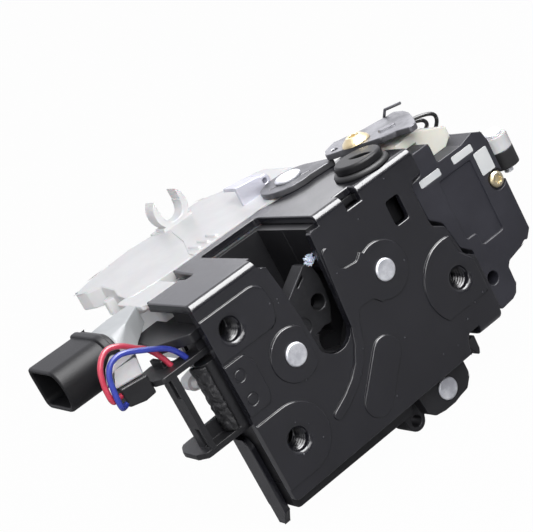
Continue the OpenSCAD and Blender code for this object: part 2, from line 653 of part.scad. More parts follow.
// Steel deck behind the flange, round at its left end
module deck_plate() {
    color(grey_steel) at_frame() difference() {
        deck(plate_top, lever_t) {
            translate(deck_at) circle(10);
            polygon(rounded([[1.5, 33.4, 0], [4, 32, 1], [19.6, 29.4, 1], [20, 33, 2],
                             [17.6, 43, 0], [8, 44, 0]]));
        }
        translate([deck_at[0], deck_at[1], plate_top - skim]) cylinder(d = 4, h = lever_t + 2 * skim);
        // Two slits for the legs of a return spring
        for (p = [[2.2, 41.4, -35], [11.3, 34.9, -20]])
            translate([p[0], p[1], plate_top + lever_t - 1]) rotate([0, 0, p[2]])
                translate([-1.5, -0.6, 0]) cube([3, 1.2, 2]);
    }
}
module deck_rivet() {
    color(bright_zinc) at_frame() translate([deck_at[0], deck_at[1], 0]) {
        translate([0, 0, plate_top - shell_wall - 1]) cylinder(d = 4, h = shell_wall + 1 + lever_t);
        translate([0, 0, plate_top + lever_t]) cylinder(d = 9, h = 0.8);
        translate([0, 0, plate_top + lever_t + 0.8]) cylinder(d1 = 9, d2 = 7.6, h = 0.5);
        translate([0, 0, plate_top - shell_wall - 1]) cylinder(d = 6, h = 1);
    }
}
lever_pivot = [24.8, 22];
lever_z = plate_top + lever_t + 0.3;
lever_bore = 6;
lever_screw_d = 3.6;
lever_pts = [[17.1, 29.4, 2], [20.4, 34, 2], [26.1, 36.9, 1.5], [28.4, 34.8, 2], [33.8, 29.7, 3],
             [38.5, 28.1, 2], [41.3, 26.3, 1], [44.6, 26.4, 1.5], [44.6, 21, 2], [42.9, 15.9, 3],
             [38.2, 7.7, 3], [34.7, 2.6, 2], [32, 2.4, 1], [30, 7.6, 2], [26.4, 11.1, 3],
             [22, 20, 2]];
// Release lever with its raised rib
module release_lever() {
    color(grey_steel) at_frame() difference() {
        union() {
            deck(lever_z, lever_t) polygon(rounded(lever_pts, 4));
            deck(lever_z + lever_t - 0.1, 0.8) strap_2d([31, 16.2], 0.9, [34.2, 13.8], 0.9);
        }
        translate([lever_pivot[0], lever_pivot[1], lever_z - skim])
            cylinder(d = lever_bore + 2 * run_gap, h = lever_t + 2 * skim);
        deck(lever_z - skim, lever_t + 2 * skim) polygon(rounded([[19.6, 28.6, 0.5],
            [20.6, 31.2, 0.5], [22.4, 30.4, 0.5], [21.4, 27.6, 0.5]]));
    }
}
// Shouldered screw that the release lever turns on
module lever_screw() {
    color(yellow_zinc) at_frame() translate([lever_pivot[0], lever_pivot[1], 0]) difference() {
        union() {
            translate([0, 0, 17]) cylinder(d = lever_screw_d, h = plate_top - 17);
            translate([0, 0, plate_top]) cylinder(d = 8, h = lever_z - plate_top - run_gap);
            translate([0, 0, lever_z - run_gap]) cylinder(d = lever_bore, h = lever_t + 2 * run_gap);
            translate([0, 0, lever_z + lever_t + run_gap]) cylinder(d1 = 9.6, d2 = 8.4, h = 1);
            translate([0, 0, lever_z + lever_t + 1 + run_gap]) cylinder(d1 = 8.4, d2 = 5, h = 1.3);
        }
        translate([0, 0, lever_z + lever_t + 1]) star_recess(1.9);
    }
}
module star_recess(r) {
    linear_extrude(4) union() {
        circle(r * 0.72);
        for (a = [0:60:120]) rotate(a) square([2 * r, r * 0.55], center = true);
    }
}
// Spring of the release lever: one turn round the collar and a leg out each side
module lever_spring() {
    r = 5;
    z = plate_top + 0.75;
    c = [lever_pivot[0], lever_pivot[1]];
    color(grey_steel) at_frame() tube(concat(
        [[26.6, 38.6, z + 0.7], [26, 36, z + 0.6], [c[0] + r, c[1] + 6, z + 0.1]],
        [for (a = [0:-20:-340]) [c[0] + r * cos(a), c[1] + r * sin(a), z - a / 340 * 1.1]],
        [[33, 27.6, z + 0.7], [40.4, 27.6, z + 0.7], [41.2, 27.9, z + 2.4], [42, 26, z + 5.6],
         [44, 19.5, z + 6.4]]), 1);
}
clip_front = 51;
clip_long = 8;
clip_t = 1.2;
clip_r = 2.1;
clip_roll = [5.9, 28.9];
// Spring clip that holds the cable end
module hook_clip() {
    color([0.62, 0.62, 0.66]) at_frame() {
        slab(clip_front, clip_t)
            polygon([[-5, shell_top], [-5, 32.4], [4.8, 31.2], [4.8, shell_top]]);
        slab(clip_front, clip_long) {
            polygon([[-5, 32.4], [4.8, 31.2], [4.8, 31.2 - clip_t], [-5, 32.4 - clip_t]]);
            translate(clip_roll) difference() {
                circle(clip_r);
                circle(clip_r - clip_t);
            }
        }
    }
}

cover_front = 3;
cover_back = 18;
cover_gap = 1.6;
cover_right = 56;
// Front of the black switch cover, which follows the plate's edge at a small gap
cover_pts = [[plate_right - 3, 22.6, 1], [35.75, 22.6, 1], [35.75, 16.3, 0.5], [36.4, 15.8, 0.5],
             [46, 15.8, 1], [51.5, 17.2, 1], [55, 15.5, 1], [cover_right, 12, 2],
             [cover_right, -20, 1], [53.5, -22.7, 1], [52.5, -22, 1], [50, -23.3, 1],
             [44, -24.5, 1.5], [42.7, -26, 1], [42.5, -32, 1.5], [41, -34.5, 1],
             [39, -35.5, 1], [plate_right + cover_gap, -36, 1], [plate_right + cover_gap, -14, 1],
             [29.6, -11, 2], [27.8, -1, 2], [23.8, 2.4, 1.5], [23.4, 14.9, 1],
             [plate_right - 3, 15.6, 1]];
screw_at = [52.9, -0.25];
module cover_face_2d() { polygon(rounded(cover_pts, 4)); }
// Black cover of the lock switches, with its recessed panel
module switch_cover() {
    color(black_plastic) at_frame() difference() {
        slab(cover_front, cover_back - cover_front) difference() {
            cover_face_2d();
            translate([35.5, -25.6]) circle(2.2);
        }
        // Inside, open at the back
        slab(cover_front + 2, cover_back) polygon(rounded([[30.5, 20.6, 1], [33.7, 20.6, 1],
            [34, 14, 1], [50, 13.8, 1], [50, 4, 1], [48, -5, 1], [53.6, -8, 1], [53.6, -18, 1],
            [43, -21, 2], [40.6, -24, 1], [38, -22, 1], [33.2, -20, 1], [33.2, -9, 1],
            [30, 0, 2], [26.4, 4.4, 1], [26.4, 11, 1], [30.5, 12, 1]]));
        slab(cover_front - skim, skim + 0.6) polygon(rounded([[33, 10.2, 1], [47, 10.2, 1],
            [47, -14.8, 1], [37.5, -14.8, 1], [37.5, -10.2, 1], [33, -10.2, 1]]));
        pin(screw_at, 6.8, cover_front - skim, cover_front + 1);
        pin(screw_at, 2.6, cover_front - skim, cover_back + skim);
        for (p = pad_pts) slab(cover_front - skim, skim + 0.8) polygon(rounded(p));
        // Room for the plate's drawn collar and lug
        pin(hole_b, collar_d + 3, 0, cover_back + skim);
    }
}
pad_pts = [[[26.5, 14.2, 0.5], [35.2, 14.2, 0.5], [35.2, 11.8, 0.5], [26.5, 11.8, 0.5]],
           [[40.8, 14.4, 0.5], [49.5, 14.4, 0.5], [49.5, 11.9, 0.5], [40.8, 11.9, 0.5]],
           [[48.7, 11, 0.5], [54.3, 11, 0.5], [54.3, 3.2, 0.5], [48.7, 3.2, 0.5]]];
// White ends of the carrier's posts, flush in the cover
module cover_pads() {
    color(white_plastic) at_frame() for (p = pad_pts)
        slab(cover_front - 0.1, 0.9) polygon(rounded(p));
}
module pan_screw(p, head_d, seat_y, tip_y, shank_d) {
    difference() {
        union() {
            pin(p, shank_d, seat_y, tip_y);
            cone_pin(p, head_d - 1.2, head_d, seat_y - 1.6, seat_y - 0.8);
            pin(p, head_d, seat_y - 0.8, seat_y);
        }
        translate([p[0], seat_y - 0.7, p[1]]) rotate([90, 0, 0]) star_recess(head_d * 0.26);
    }
}
module cover_screw() {
    color(yellow_zinc) at_frame() pan_screw(screw_at, 5.4, cover_front + 1, cover_back + 6, 2.6);
}
carrier_back = cover_back + 2;
// Plate that carries the switches and closes the cover
module switch_carrier() {
    color(black_plastic) at_frame() difference() {
        slab(cover_back, carrier_back - cover_back) difference() {
            polygon(rounded([[25.4, 15.6, 1], [35.75, 15.8, 1], [46, 15.8, 1], [51.5, 17.2, 1],
                             [55, 15.5, 1], [cover_right, 12, 2], [cover_right, -20, 1],
                             [50, -23.3, 1], [44, -24.5, 1.5], [42.5, -34, 1.5],
                             [plate_right + cover_gap, -36, 1], [28, -20, 2], [25.4, -9, 1]], 4));
            translate(screw_at) circle(d = 2.6);
        }
        pin(hole_b, collar_d + 3, 0, carrier_back + skim);
    }
}
// Microswitch that reports the lock's state
module micro_switch() {
    color([0.25, 0.25, 0.27]) at_frame() difference() {
        block(34, 46.8, 6, cover_back, -4, 2.5);
        block(38.9, 41.1, 8.9, 11.1, 0, 3.5);
        for (x = [36, 44.8]) pin([x, -2], 1.8, 5, 13);
    }
}
// Button of the microswitch
module switch_button() {
    color([0.7, 0.2, 0.15]) at_frame() {
        block(39, 41, 9, 11, 1.2, 4);
        translate([40, 9, 4]) rotate([-90, 0, 0]) cylinder(d = 2, h = 2);
    }
}
cap_pts = [[28.5, 22.6, 0.5], [28.5, 25.4, 1], [37, 26.2, 2], [49, 21.5, 1], [49, 18, 0.5],
           [46, 15.8, 0], [36.4, 15.8, 0.3], [36.4, 22.6, 0.3]];
// Ivory end cap over the cable channel
module end_cap() {
    color(ivory) at_frame() difference() {
        slab(10, 12) polygon(rounded(cap_pts));
        translate([lever_pivot[0], lever_pivot[1], 0]) cylinder(d = 9, h = 40);
    }
}
side_back = 45;
// White side housing behind the switch carrier
module side_housing() {
    color(white_plastic) at_frame() difference() {
        union() {
            slab(carrier_back, side_back - carrier_back) polygon(rounded([[28.4, 14.6, 2],
                [50, 14.6, 2], [58, 12.6, 5], [60, 4, 4], [57.4, -14, 5], [48, -21, 4],
                [28.4, -21, 2]]));
            // Ear for the vertical screw
            deck(4, 5) strap_2d([65, 12], 4.4, [60, 23], 4);
        }
        slab(carrier_back - skim, side_back - carrier_back - 1) polygon(rounded([[30.4, 12.6, 1],
            [49, 12.6, 1], [49, 4, 1], [56, 2, 2], [55, -13, 4], [47.4, -19, 3], [30.4, -19, 1]]));
        translate([65, 12, 3]) cylinder(d = 3, h = 7);
    }
}
// Rubber bush under the ear
module side_bush() {
    color([0.07, 0.07, 0.07]) at_frame() translate([65, 12, -2]) difference() {
        cylinder(d = 8.8, h = 6);
        translate([0, 0, -skim]) cylinder(d = 3, h = 8);
    }
}
module side_screw() {
    color(bright_zinc) at_frame() translate([65, 12, 0]) difference() {
        union() {
            translate([0, 0, -4]) cylinder(d = 3, h = 13);
            translate([0, 0, 9]) cylinder(d = 6.4, h = 0.9);
            translate([0, 0, 9.9]) cylinder(d1 = 6.4, d2 = 4.6, h = 0.9);
        }
        translate([0, 0, 9.7]) star_recess(1.5);
    }
}

shell_left = -39;
shell_right = 20;
shell_front = 33;
shell_top = plate_top;
split_z = -5.5;
floor_z = -shell_bottom;
post_at = [[-34.6, 37.6], [15.4, 37.6], [15.4, 73.4], [-22, 73.4]];
// Bay for the motor, left of the gears
bay_left = -50.6;
bay_front = 45.4;
bay_back = 70.6;
wing_low = 19;
// Top of the housing, which runs past its back
top_pts = [[shell_right, 38.5, 5], [shell_right, shell_back, 6], [8, shell_back + 2, 3],
           [1.5, shell_back + 11, 3], [-22, shell_back + 10.5, 0], [-19.8, 77, 6],
           [-26, 58.5, 6], [-33, 44, 3], [-34, 38.5, 0]];
// Lower wing at the left, with its back corner drawn out to a prong
wing_pts = [[-18, 40, 0], [-46, 40, 0], [-58, 43, 3], [-56.5, 53, 3], [-54, 60, 2], [-52.6, 72, 1],
            [-56, 77, 1], [-57.6, 82.4, 1.4], [-53, 85, 2], [-47, 88, 3], [-40, 88.6, 4],
            [-32, 90, 4], [-18, 87, 0]];
post_d = 6.4;
shell_screw_d = 2.6;
worm_z = split_z + (wheel_teeth * worm_m + worm_d) / 2;
bay_low = worm_z - motor_d / 2 - shell_wall - 0.3;
wheel_at = [-6, split_z];
drive_y = 58;
module box_2d(x0, x1, y0, y1, r) {
    polygon(rounded([[x0, y0, r], [x1, y0, r], [x1, y1, r], [x0, y1, r]]));
}
// Inside of the actuator housing, as seen from above
module shell_room_2d(front) {
    difference() {
        box_2d(shell_left + shell_wall, shell_right - shell_wall, front + shell_wall,
               shell_back - shell_wall, 4);
        for (p = post_at) translate(p) circle(d = post_d);
    }
}
// White upper half of the actuator housing, with its arms, prongs and cable cradle
module actuator_housing() {
    color(white_plastic) at_frame() difference() {
        union() {
            deck(split_z, 22 - split_z) box_2d(shell_left, shell_right, shell_front, shell_back, 6);
            deck(20, shell_top - 20) polygon(rounded(top_pts));
            deck(bay_low, 22 - bay_low) box_2d(bay_left, shell_left + 8, bay_front, bay_back, 2);
            deck(wing_low, 25.5 - wing_low) polygon(rounded(wing_pts));
            // Lip behind the flange
            deck(23.5, 1.7) box_2d(-61, -47.6, 28, 46, 1.5);
            // Arms that reach forward to the back plate
            block(-45, -35, back_back, 36, 1.5, 13.8);
            block(8, 23, back_back, 45, split_z, 13.8);
            block(18, 28.4, carrier_back + 1, 45, split_z, 13.8);
            // Prong under the wing's left edge
            deck(wing_low - 1.5, 5) strap_2d([-49, 65], 4, [-54.4, 66], 2);
            // Open cradle for the cable
            slab(shell_back + 2, 6) difference() {
                union() {
                    translate([-14.5, 31.6]) circle(6.6);
                    translate([-20.5, shell_top - 2]) square([12, 3]);
                }
                translate([-14.5, 31.6]) circle(4.2);
                translate([-19, 32.5]) square([9, 9]);
            }
            // Ribs behind the flange
            for (x = [-31, -27.5, -24]) block(x, x + 1.2, 40, 47, shell_top - 1, shell_top + 0.8);
        }
        deck(split_z - skim, shell_top - shell_wall - split_z + skim) shell_room_2d(38.5);
        deck(bay_low + shell_wall, 23.5 - shell_wall - bay_low) box_2d(bay_left + shell_wall,
            shell_left + 9, bay_front + shell_wall, bay_back - shell_wall, 1);
        deck(wing_low - skim, 4.5 + skim) box_2d(-52, shell_left - 1, bay_back + 1.6, 85, 2);
        deck(split_z - skim, 20 - split_z + skim) shell_room_2d(shell_front);
        for (p = post_at) translate([p[0], p[1], split_z - skim])
            cylinder(d = shell_screw_d, h = 12 + skim);
        translate([deck_at[0], deck_at[1], shell_top - shell_wall - skim])
            cylinder(d = 4, h = shell_wall + 2 * skim);
        // Room for the tail of the deck's rivet
        translate([deck_at[0], deck_at[1], 20 - skim])
            cylinder(d = 6.4, h = shell_top - shell_wall - 20 + skim);
    }
    // Ribs that hold the motor and the end of its shaft
    color(white_plastic) at_frame() difference() {
        for (x = [-46, -25]) block(x, x + 2, 46, 70, worm_z - 4, shell_top - shell_wall + 0.1);
        translate([-50, drive_y, worm_z]) rotate([0, 90, 0]) cylinder(d = motor_d, h = 40);
    }
    color(white_plastic) at_frame() difference() {
        block(4, 7, 52, 64, worm_z - 4, shell_top - shell_wall + 0.1);
        translate([3, drive_y, worm_z]) rotate([0, 90, 0]) cylinder(d = 2 + 2 * run_gap, h = 5);
    }
}
// Black lower half of the actuator housing, with the bearings of the gears
module actuator_base() {
    color(black_plastic) at_frame() difference() {
        union() {
            difference() {
                deck(floor_z, split_z - floor_z)
                    box_2d(shell_left, shell_right, shell_front, shell_back, 6);
                deck(floor_z + shell_wall, split_z - floor_z) shell_room_2d(shell_front);
            }
            // Pedestals of the worm wheel's axle
            for (y = [50, 68.5]) block(wheel_at[0] - 4, wheel_at[0] + 4, y, y + 4, floor_z + skim, split_z);
            // Pedestals of the lock sector's axle
            for (y = [52, 68.5])
                block(sector_at[0] - 4, sector_at[0] + 4, y, y + 4, floor_z + skim, sector_at[1] + 4);
        }
        pin(wheel_at, axle_d, 48, 74);
        pin(sector_at, axle_d, 48, 74);
        // Slot that the lock sector's arm comes out of
        block(shell_left - skim, shell_left + shell_wall + skim, 55.2, 69.2,
              sector_at[1] - 6.4, sector_at[1] + 6.4);
        for (p = post_at) translate([p[0], p[1], floor_z - skim])
            cylinder(d = shell_screw_d, h = shell_bottom);
    }
}
// Four screws that hold the two halves together
module base_screws() {
    color(bright_zinc) at_frame() for (p = post_at) translate([p[0], p[1], floor_z]) difference() {
        union() {
            translate([0, 0, -1.2]) cylinder(d = 6, h = 1.2);
            translate([0, 0, -2]) cylinder(d1 = 4.6, d2 = 6, h = 0.8);
            cylinder(d = shell_screw_d, h = split_z - floor_z + 11);
        }
        translate([0, 0, -5.2]) star_recess(1.5);
    }
}

axle_d = 3;
motor_back = -48;
worm_start = -14;
worm_turns = 6;
pinion_d = worm_m * pinion_teeth;
sector_d = worm_m * sector_teeth;
sector_side = 200;
sector_at = wheel_at + polar((pinion_d + sector_d) / 2, sector_side);
lead = PI * worm_m;
// Difference between the tangent and the angle itself, in degrees
function inv(a) = tan(a) * 180 / PI - a;
// Half the angle that a tooth takes at radius r
function tooth_half(r, pitch_r, play) =
    let (base = pitch_r * cos(20))
    (45 * worm_m - play * 90 / PI) / pitch_r + inv(20) - inv(acos(min(1, base / max(r, base))));
// Points of gear teeth from number a to number b, with involute flanks
function teeth(count, a, b, play, tip) =
    let (pitch_r = worm_m * count / 2, base = pitch_r * cos(20), root = pitch_r - 1.25 * worm_m,
         top = pitch_r + tip * worm_m, low = max(root, base) + 0.02,
         radii = concat(root < base - 0.05 ? [root] : [],
                        [for (i = [0:3]) low + (top - low) * i / 3]),
         last = len(radii) - 1)
    [for (k = [a:b]) each concat(
        [for (r = radii) polar(r, 360 * k / count - tooth_half(r, pitch_r, play))],
        [for (i = [last:-1:0])
            polar(radii[i], 360 * k / count + tooth_half(radii[i], pitch_r, play))])];
// Motor of the lock drive, with its end boss
module motor() {
    color([0.7, 0.7, 0.72]) at_frame() translate([motor_back, drive_y, worm_z]) rotate([0, 90, 0])
        difference() {
            union() {
                cylinder(d = motor_d, h = motor_len);
                cylinder(d = 6, h = motor_len + 1.6);
            }
            translate([0, 0, motor_len - 6]) cylinder(d = 2 + 2 * run_gap, h = 8);
        }
}
module worm() {
    root_r = worm_d / 2 - 1.2 * worm_m;
    crest_r = worm_d / 2 + 0.9 * worm_m;
    half_w = (lead / 2 - tooth_play) / 2;
    function rise(r) = (worm_d / 2 - r) * tan(20);
    function at(r, x, a) = [x, r * cos(a), r * sin(a)];
    steps = 16;
    // The thread's middle passes over the wheel's axis when it faces down
    x0 = wheel_at[0] - lead * (worm_turns / 2 - 0.25);
    rings = [for (i = [0:worm_turns * steps])
        let (a = 360 * i / steps, x = x0 + lead * i / steps, w = half_w + rise(crest_r),
             v = half_w + rise(root_r))
        [at(root_r - 0.1, x - v, a), at(crest_r, x - w, a), at(crest_r, x + w, a),
         at(root_r - 0.1, x + v, a)]];
    last = worm_turns * steps;
    color([0.55, 0.5, 0.4]) at_frame() translate([0, drive_y, worm_z]) {
        polyhedron([for (r = rings) each r],
            concat([for (i = [0:last - 1], k = [0:3])
                        let (m = (k + 1) % 4)
                        [4 * i + m, 4 * (i + 1) + m, 4 * (i + 1) + k, 4 * i + k]],
                   [[3, 2, 1, 0]], [[4 * last, 4 * last + 1, 4 * last + 2, 4 * last + 3]]));
        translate([worm_start, 0, 0]) rotate([0, 90, 0])
            cylinder(r = root_r, h = 2 * (wheel_at[0] - worm_start));
        translate([motor_back + motor_len - 4, 0, 0]) rotate([0, 90, 0])
            cylinder(d = 2, h = 6 - motor_back - motor_len + 4);
    }
}
wheel_w = 3;
// Worm wheel with the pinion that drives the lock sector
module worm_wheel() {
    color([0.88, 0.86, 0.78]) at_frame() translate([wheel_at[0], 0, wheel_at[1]]) difference() {
        union() {
            slab(drive_y - wheel_w / 2, wheel_w) rotate(90 + 180 / wheel_teeth)
                polygon(teeth(wheel_teeth, 0, wheel_teeth - 1, tooth_play, 0.8));
            slab(drive_y + wheel_w / 2 - 0.1, 6)
                rotate(sector_side - 180 / pinion_teeth)
                    polygon(teeth(pinion_teeth, 0, pinion_teeth - 1, tooth_play, 0.9));
            pin([0, 0], 6, 54.2, 68.3);
        }
        pin([0, 0], axle_d + 2 * run_gap, 50, 74);
    }
}
// Toothed sector that throws the lock, with its output arm
module lock_sector() {
    count = 3;
    color([0.88, 0.86, 0.78]) at_frame() translate([sector_at[0], 0, sector_at[1]]) difference() {
        union() {
            slab(61, 5) rotate(sector_side - 180) {
                polygon(concat([[0, 3.6], [-3.6, 0], [0, -3.6]],
                               teeth(sector_teeth, -count, count, tooth_play, 0.8)));
            }
            slab(61, 5) strap_2d([0, 0], 5, [-12, 0], 2.6);
            pin([0, 0], 8, 56.2, 68.3);
            pin([-12, 0], 3, 57, 61.2);
        }
        pin([0, 0], axle_d + 2 * run_gap, 50, 74);
    }
}
module gear_axle() { color(bright_zinc) at_frame() pin(wheel_at, axle_d, 50, 72.5); }
module sector_axle() { color(bright_zinc) at_frame() pin(sector_at, axle_d, 52, 72.5); }

bracket_front = 4.4;
bracket_back = 11.6;
bracket_left = -73.4;
bracket_wall = 1.9;
bracket_top = 12;
bracket_low = -15.2;
lobe_left = -77.5;
shelf_t = 1.8;
sill_top = -8.8;
// Rounded post at the right of the window
post_c = [-60.2, 8];
post_r = 4;
post_top = 8;
// Foam on the post's left side
foam_t = 1.4;

// Black bracket at the left edge that carries the wires and their plug
module wire_bracket() {
    color(black_plastic) at_frame() difference() {
        union() {
            // Left wall, and the low wall at the back of the window
            block(bracket_left, bracket_left + bracket_wall, bracket_front, bracket_back,
                  bracket_low, bracket_top);
            block(bracket_left + skim, post_c[0], bracket_back - 1.6, bracket_back,
                  bracket_low + skim, sill_top);
            // Shelves under and over the window, with rounded lobes
            deck(bracket_low, shelf_t) polygon(rounded([[tray_left, bracket_front, 0],
                [tray_left, 17, 0], [-65, 17.4, 2], [-66, 21.2, 2], [-74.6, 20.8, 3],
                [-77, 16, 3], [-77, 8, 2], [-75.2, bracket_front, 1.5]]));
            deck(bracket_top - shelf_t, shelf_t) polygon(rounded([[tray_left, bracket_front, 0],
                [tray_left, bracket_back, 0], [-67, bracket_back, 1], [-70.4, 20.2, 2],
                [-75, 19.2, 2], [lobe_left, 15, 1.5], [lobe_left, 7.5, 1.5],
                [-75.6, bracket_front, 1.5]]));
            // Rib that keeps the wires from the left wall
            block(-71.2, -69.8, 11.2, 18.2, bracket_top - skim, bracket_top + 2);
            deck(bracket_low + skim, post_top - bracket_low - skim)
                polygon(concat([[tray_left, post_c[1] + post_r]], arc(post_c, post_r, 90, 270, 16),
                               [[tray_left, post_c[1] - post_r]]));
            // Upper wedge beside the housing
            deck(15.4, 3) polygon(rounded([[-68.6, 30, 1], [tray_left, 31, 0], [tray_left, 4, 0],
                                           [-62.9, 3, 1], [-70.3, 13, 1]]));
            block(-62, tray_left, 5, 11, bracket_top - skim, 15.5);
        }
        // Slots in the left wall
        block(bracket_left - skim, bracket_left + 0.9, 5.6, 7.8, 3.5, 10);
        block(bracket_left - skim, bracket_left + 0.9, 5.6, 7.8, -13, -7);
        // Room for the plate's upper left collar
        pin(hole_f, collar_d + 0.6, 0, plate_t + collar_len + 0.4);
    }
}
// Strip of sealing foam on the post's left side
module seal_strip() {
    color([0.3, 0.3, 0.31]) at_frame()
        deck(bracket_low + shelf_t + 0.1, post_top - bracket_low - shelf_t - 0.4)
            polygon(concat(arc(post_c, post_r + foam_t, 161, 236, 8),
                           arc(post_c, post_r + 0.05, 236, 161, 8)));
}
plug_at = [25.7, 21.2];
plug_mouth = -98;
plug_end = plug_mouth + plug_len;
// Front of the connector, with its collar
plug_front = plug_at[0] - plug_w / 2 - 0.7;
module plug_2d(w, h) {
    y0 = plug_at[0] - w / 2;
    y1 = plug_at[0] + w / 2;
    z0 = plug_at[1] - h / 2;
    z1 = plug_at[1] + h / 2;
    polygon(rounded([[y0, z0, h * 0.42], [y1, z0, 2], [y1, z1, 2], [y0, z1, h * 0.42]], 6));
}
// Black shell of the main connector, open at the left
module connector_shell() {
    color(black_plastic) at_frame() difference() {
        union() {
            rib(plug_mouth, plug_len) plug_2d(plug_w, plug_h);
            rib(plug_end - 4, 2.4) plug_2d(plug_w + 1.4, plug_h + 1.4);
        }
        rib(plug_mouth - skim, plug_len - 3.4 + skim)
            plug_2d(plug_w - 2 * plug_wall, plug_h - 2 * plug_wall);
        for (y = pin_rows, z = pin_levels)
            translate([plug_mouth, y, z]) rotate([0, 90, 0]) cylinder(d = 1.2, h = plug_len + skim);
    }
}
pin_rows = [for (i = [-1:1]) plug_at[0] + 4.4 * i];
pin_levels = [plug_at[1] - 2.2, plug_at[1] + 2.2];
// Contact pins of the main connector
module connector_pins() {
    color(yellow_zinc) at_frame() for (y = pin_rows, z = pin_levels)
        translate([plug_end - 13, y, z]) rotate([0, 90, 0]) cylinder(d = 1.2, h = 13);
}
// Grey neck between the connector and the actuator housing
module connector_neck() {
    color([0.72, 0.73, 0.74]) at_frame() {
        $fn = hull_fn;
        hull() {
            rib(plug_end, 1) plug_2d(plug_w - 3, plug_h - 3.4);
            block(-71, -70, 22, 35, 18.9, 26.2);
        }
        hull() {
            block(-71, -70, 22, 35, 18.9, 26.2);
            block(-62, -61, 32.5, 38, 19.5, 25.3);
        }
    }
}
// White plug of the red and blue wires, under the connector
module white_plug() {
    color(white_plastic) at_frame() slab(9.6, plug_front - 0.3 - 9.6)
        polygon(rounded([[-76.6, 21, 1], [-82.3, 23.7, 1.5], [-85.4, 21.2, 1], [-87.2, 17.4, 0.5],
                         [-86.6, 15.6, 0], [lobe_left, 14.6, 0]]));
}
// Black socket that the plug sits in
module black_socket() {
    color(black_plastic) at_frame() slab(8, plug_front - 0.1 - 8)
        polygon(rounded([[-86.6, 15.6, 0], [-86.6, 9.6, 1], [-81.3, 8.3, 1], [lobe_left, 8.6, 0],
                         [lobe_left, 14.6, 0]]));
}
// Routes of the free wires, from the end in the bracket or cap to the other end
red_route = [[-69.5, 9.6, 12], [-70.5, 9.6, 15], [-73.5, 8.6, 20], [-77, 7.6, 23], [-80.5, 7, 26],
             [-84, 7, 27.4], [-87, 6.6, 26.6], [-89.4, 6.2, 24], [-90.6, 6, 20.5], [-91, 6, 17],
             [-90.6, 6.6, 14.6], [-89, 8, 13.7], [-86.6, 9.4, 13.6]];
blue_route = [[-65.4, 7, 12], [-66.4, 6.8, 14], [-69, 6, 17.4], [-73, 5, 20.2], [-77, 4.6, 22.4],
              [-80.5, 4.4, 24.2], [-83.6, 4.4, 25], [-86.6, 4.6, 24.2], [-88.6, 4.6, 21.6],
              [-89.4, 4.6, 18.4], [-89.8, 4.8, 15], [-89.6, 5.6, 12.4], [-88.6, 7.4, 11],
              [-86.6, 9, 10.8]];
black_a_route = [[40, 22, 23], [40.6, 24, 24], [43, 25, 25], [47, 23.6, 25.4], [51, 21.4, 25],
                 [54, 20.6, 23.6], [54.8, 21.4, 21], [53.6, 23.4, 18], [51, 26, 16], [49, 27, 14.6]];
black_b_route = [[37, 22, 23], [37.4, 24.6, 23.6], [40, 26.6, 24], [44, 26, 24.4], [48, 24.4, 24.2],
                 [51.4, 23.4, 23], [52.6, 24.4, 20.6], [50.6, 27, 18], [48, 29, 16.4], [46, 30, 14.6]];
module red_wire() { color([0.75, 0.08, 0.12]) at_frame() tube(smooth(red_route), wire_d); }
module blue_wire() { color([0.1, 0.15, 0.6]) at_frame() tube(smooth(blue_route), wire_d); }
module black_wire_a() { color([0.06, 0.06, 0.06]) at_frame() tube(smooth(black_a_route), thin_wire_d); }
module black_wire_b() { color([0.06, 0.06, 0.06]) at_frame() tube(smooth(black_b_route), thin_wire_d); }

latch_plate();
latch_housing();
back_plate();
claw();
claw_rivet();
claw_spring();
pawl();
pawl_rivet();
pawl_spring();
bump_stop();
ear_rivet();
knob_seal();
lock_knob();
deck_plate();
deck_rivet();
release_lever();
lever_screw();
lever_spring();
hook_clip();
switch_carrier();
switch_cover();
cover_pads();
cover_screw();
micro_switch();
switch_button();
end_cap();
side_housing();
side_bush();
side_screw();
actuator_housing();
actuator_base();
base_screws();
motor();
worm();
worm_wheel();
gear_axle();
lock_sector();
sector_axle();
wire_bracket();
seal_strip();
connector_shell();
connector_neck();
connector_pins();
white_plug();
black_socket();
red_wire();
blue_wire();
black_wire_a();
black_wire_b();
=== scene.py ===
"""Looks of the door latch actuator: finishes, softened pressings, wires, lights and camera.

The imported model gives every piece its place. This script gives each one its finish, rounds the
edges of the pressed and moulded pieces, and adds the fine forms that the solids leave out.
"""
import json
import logging
import math
from dataclasses import dataclass, field
from enum import Enum

import bmesh
import bpy
import numpy as np
from mathutils import Euler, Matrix, Vector, geometry, noise

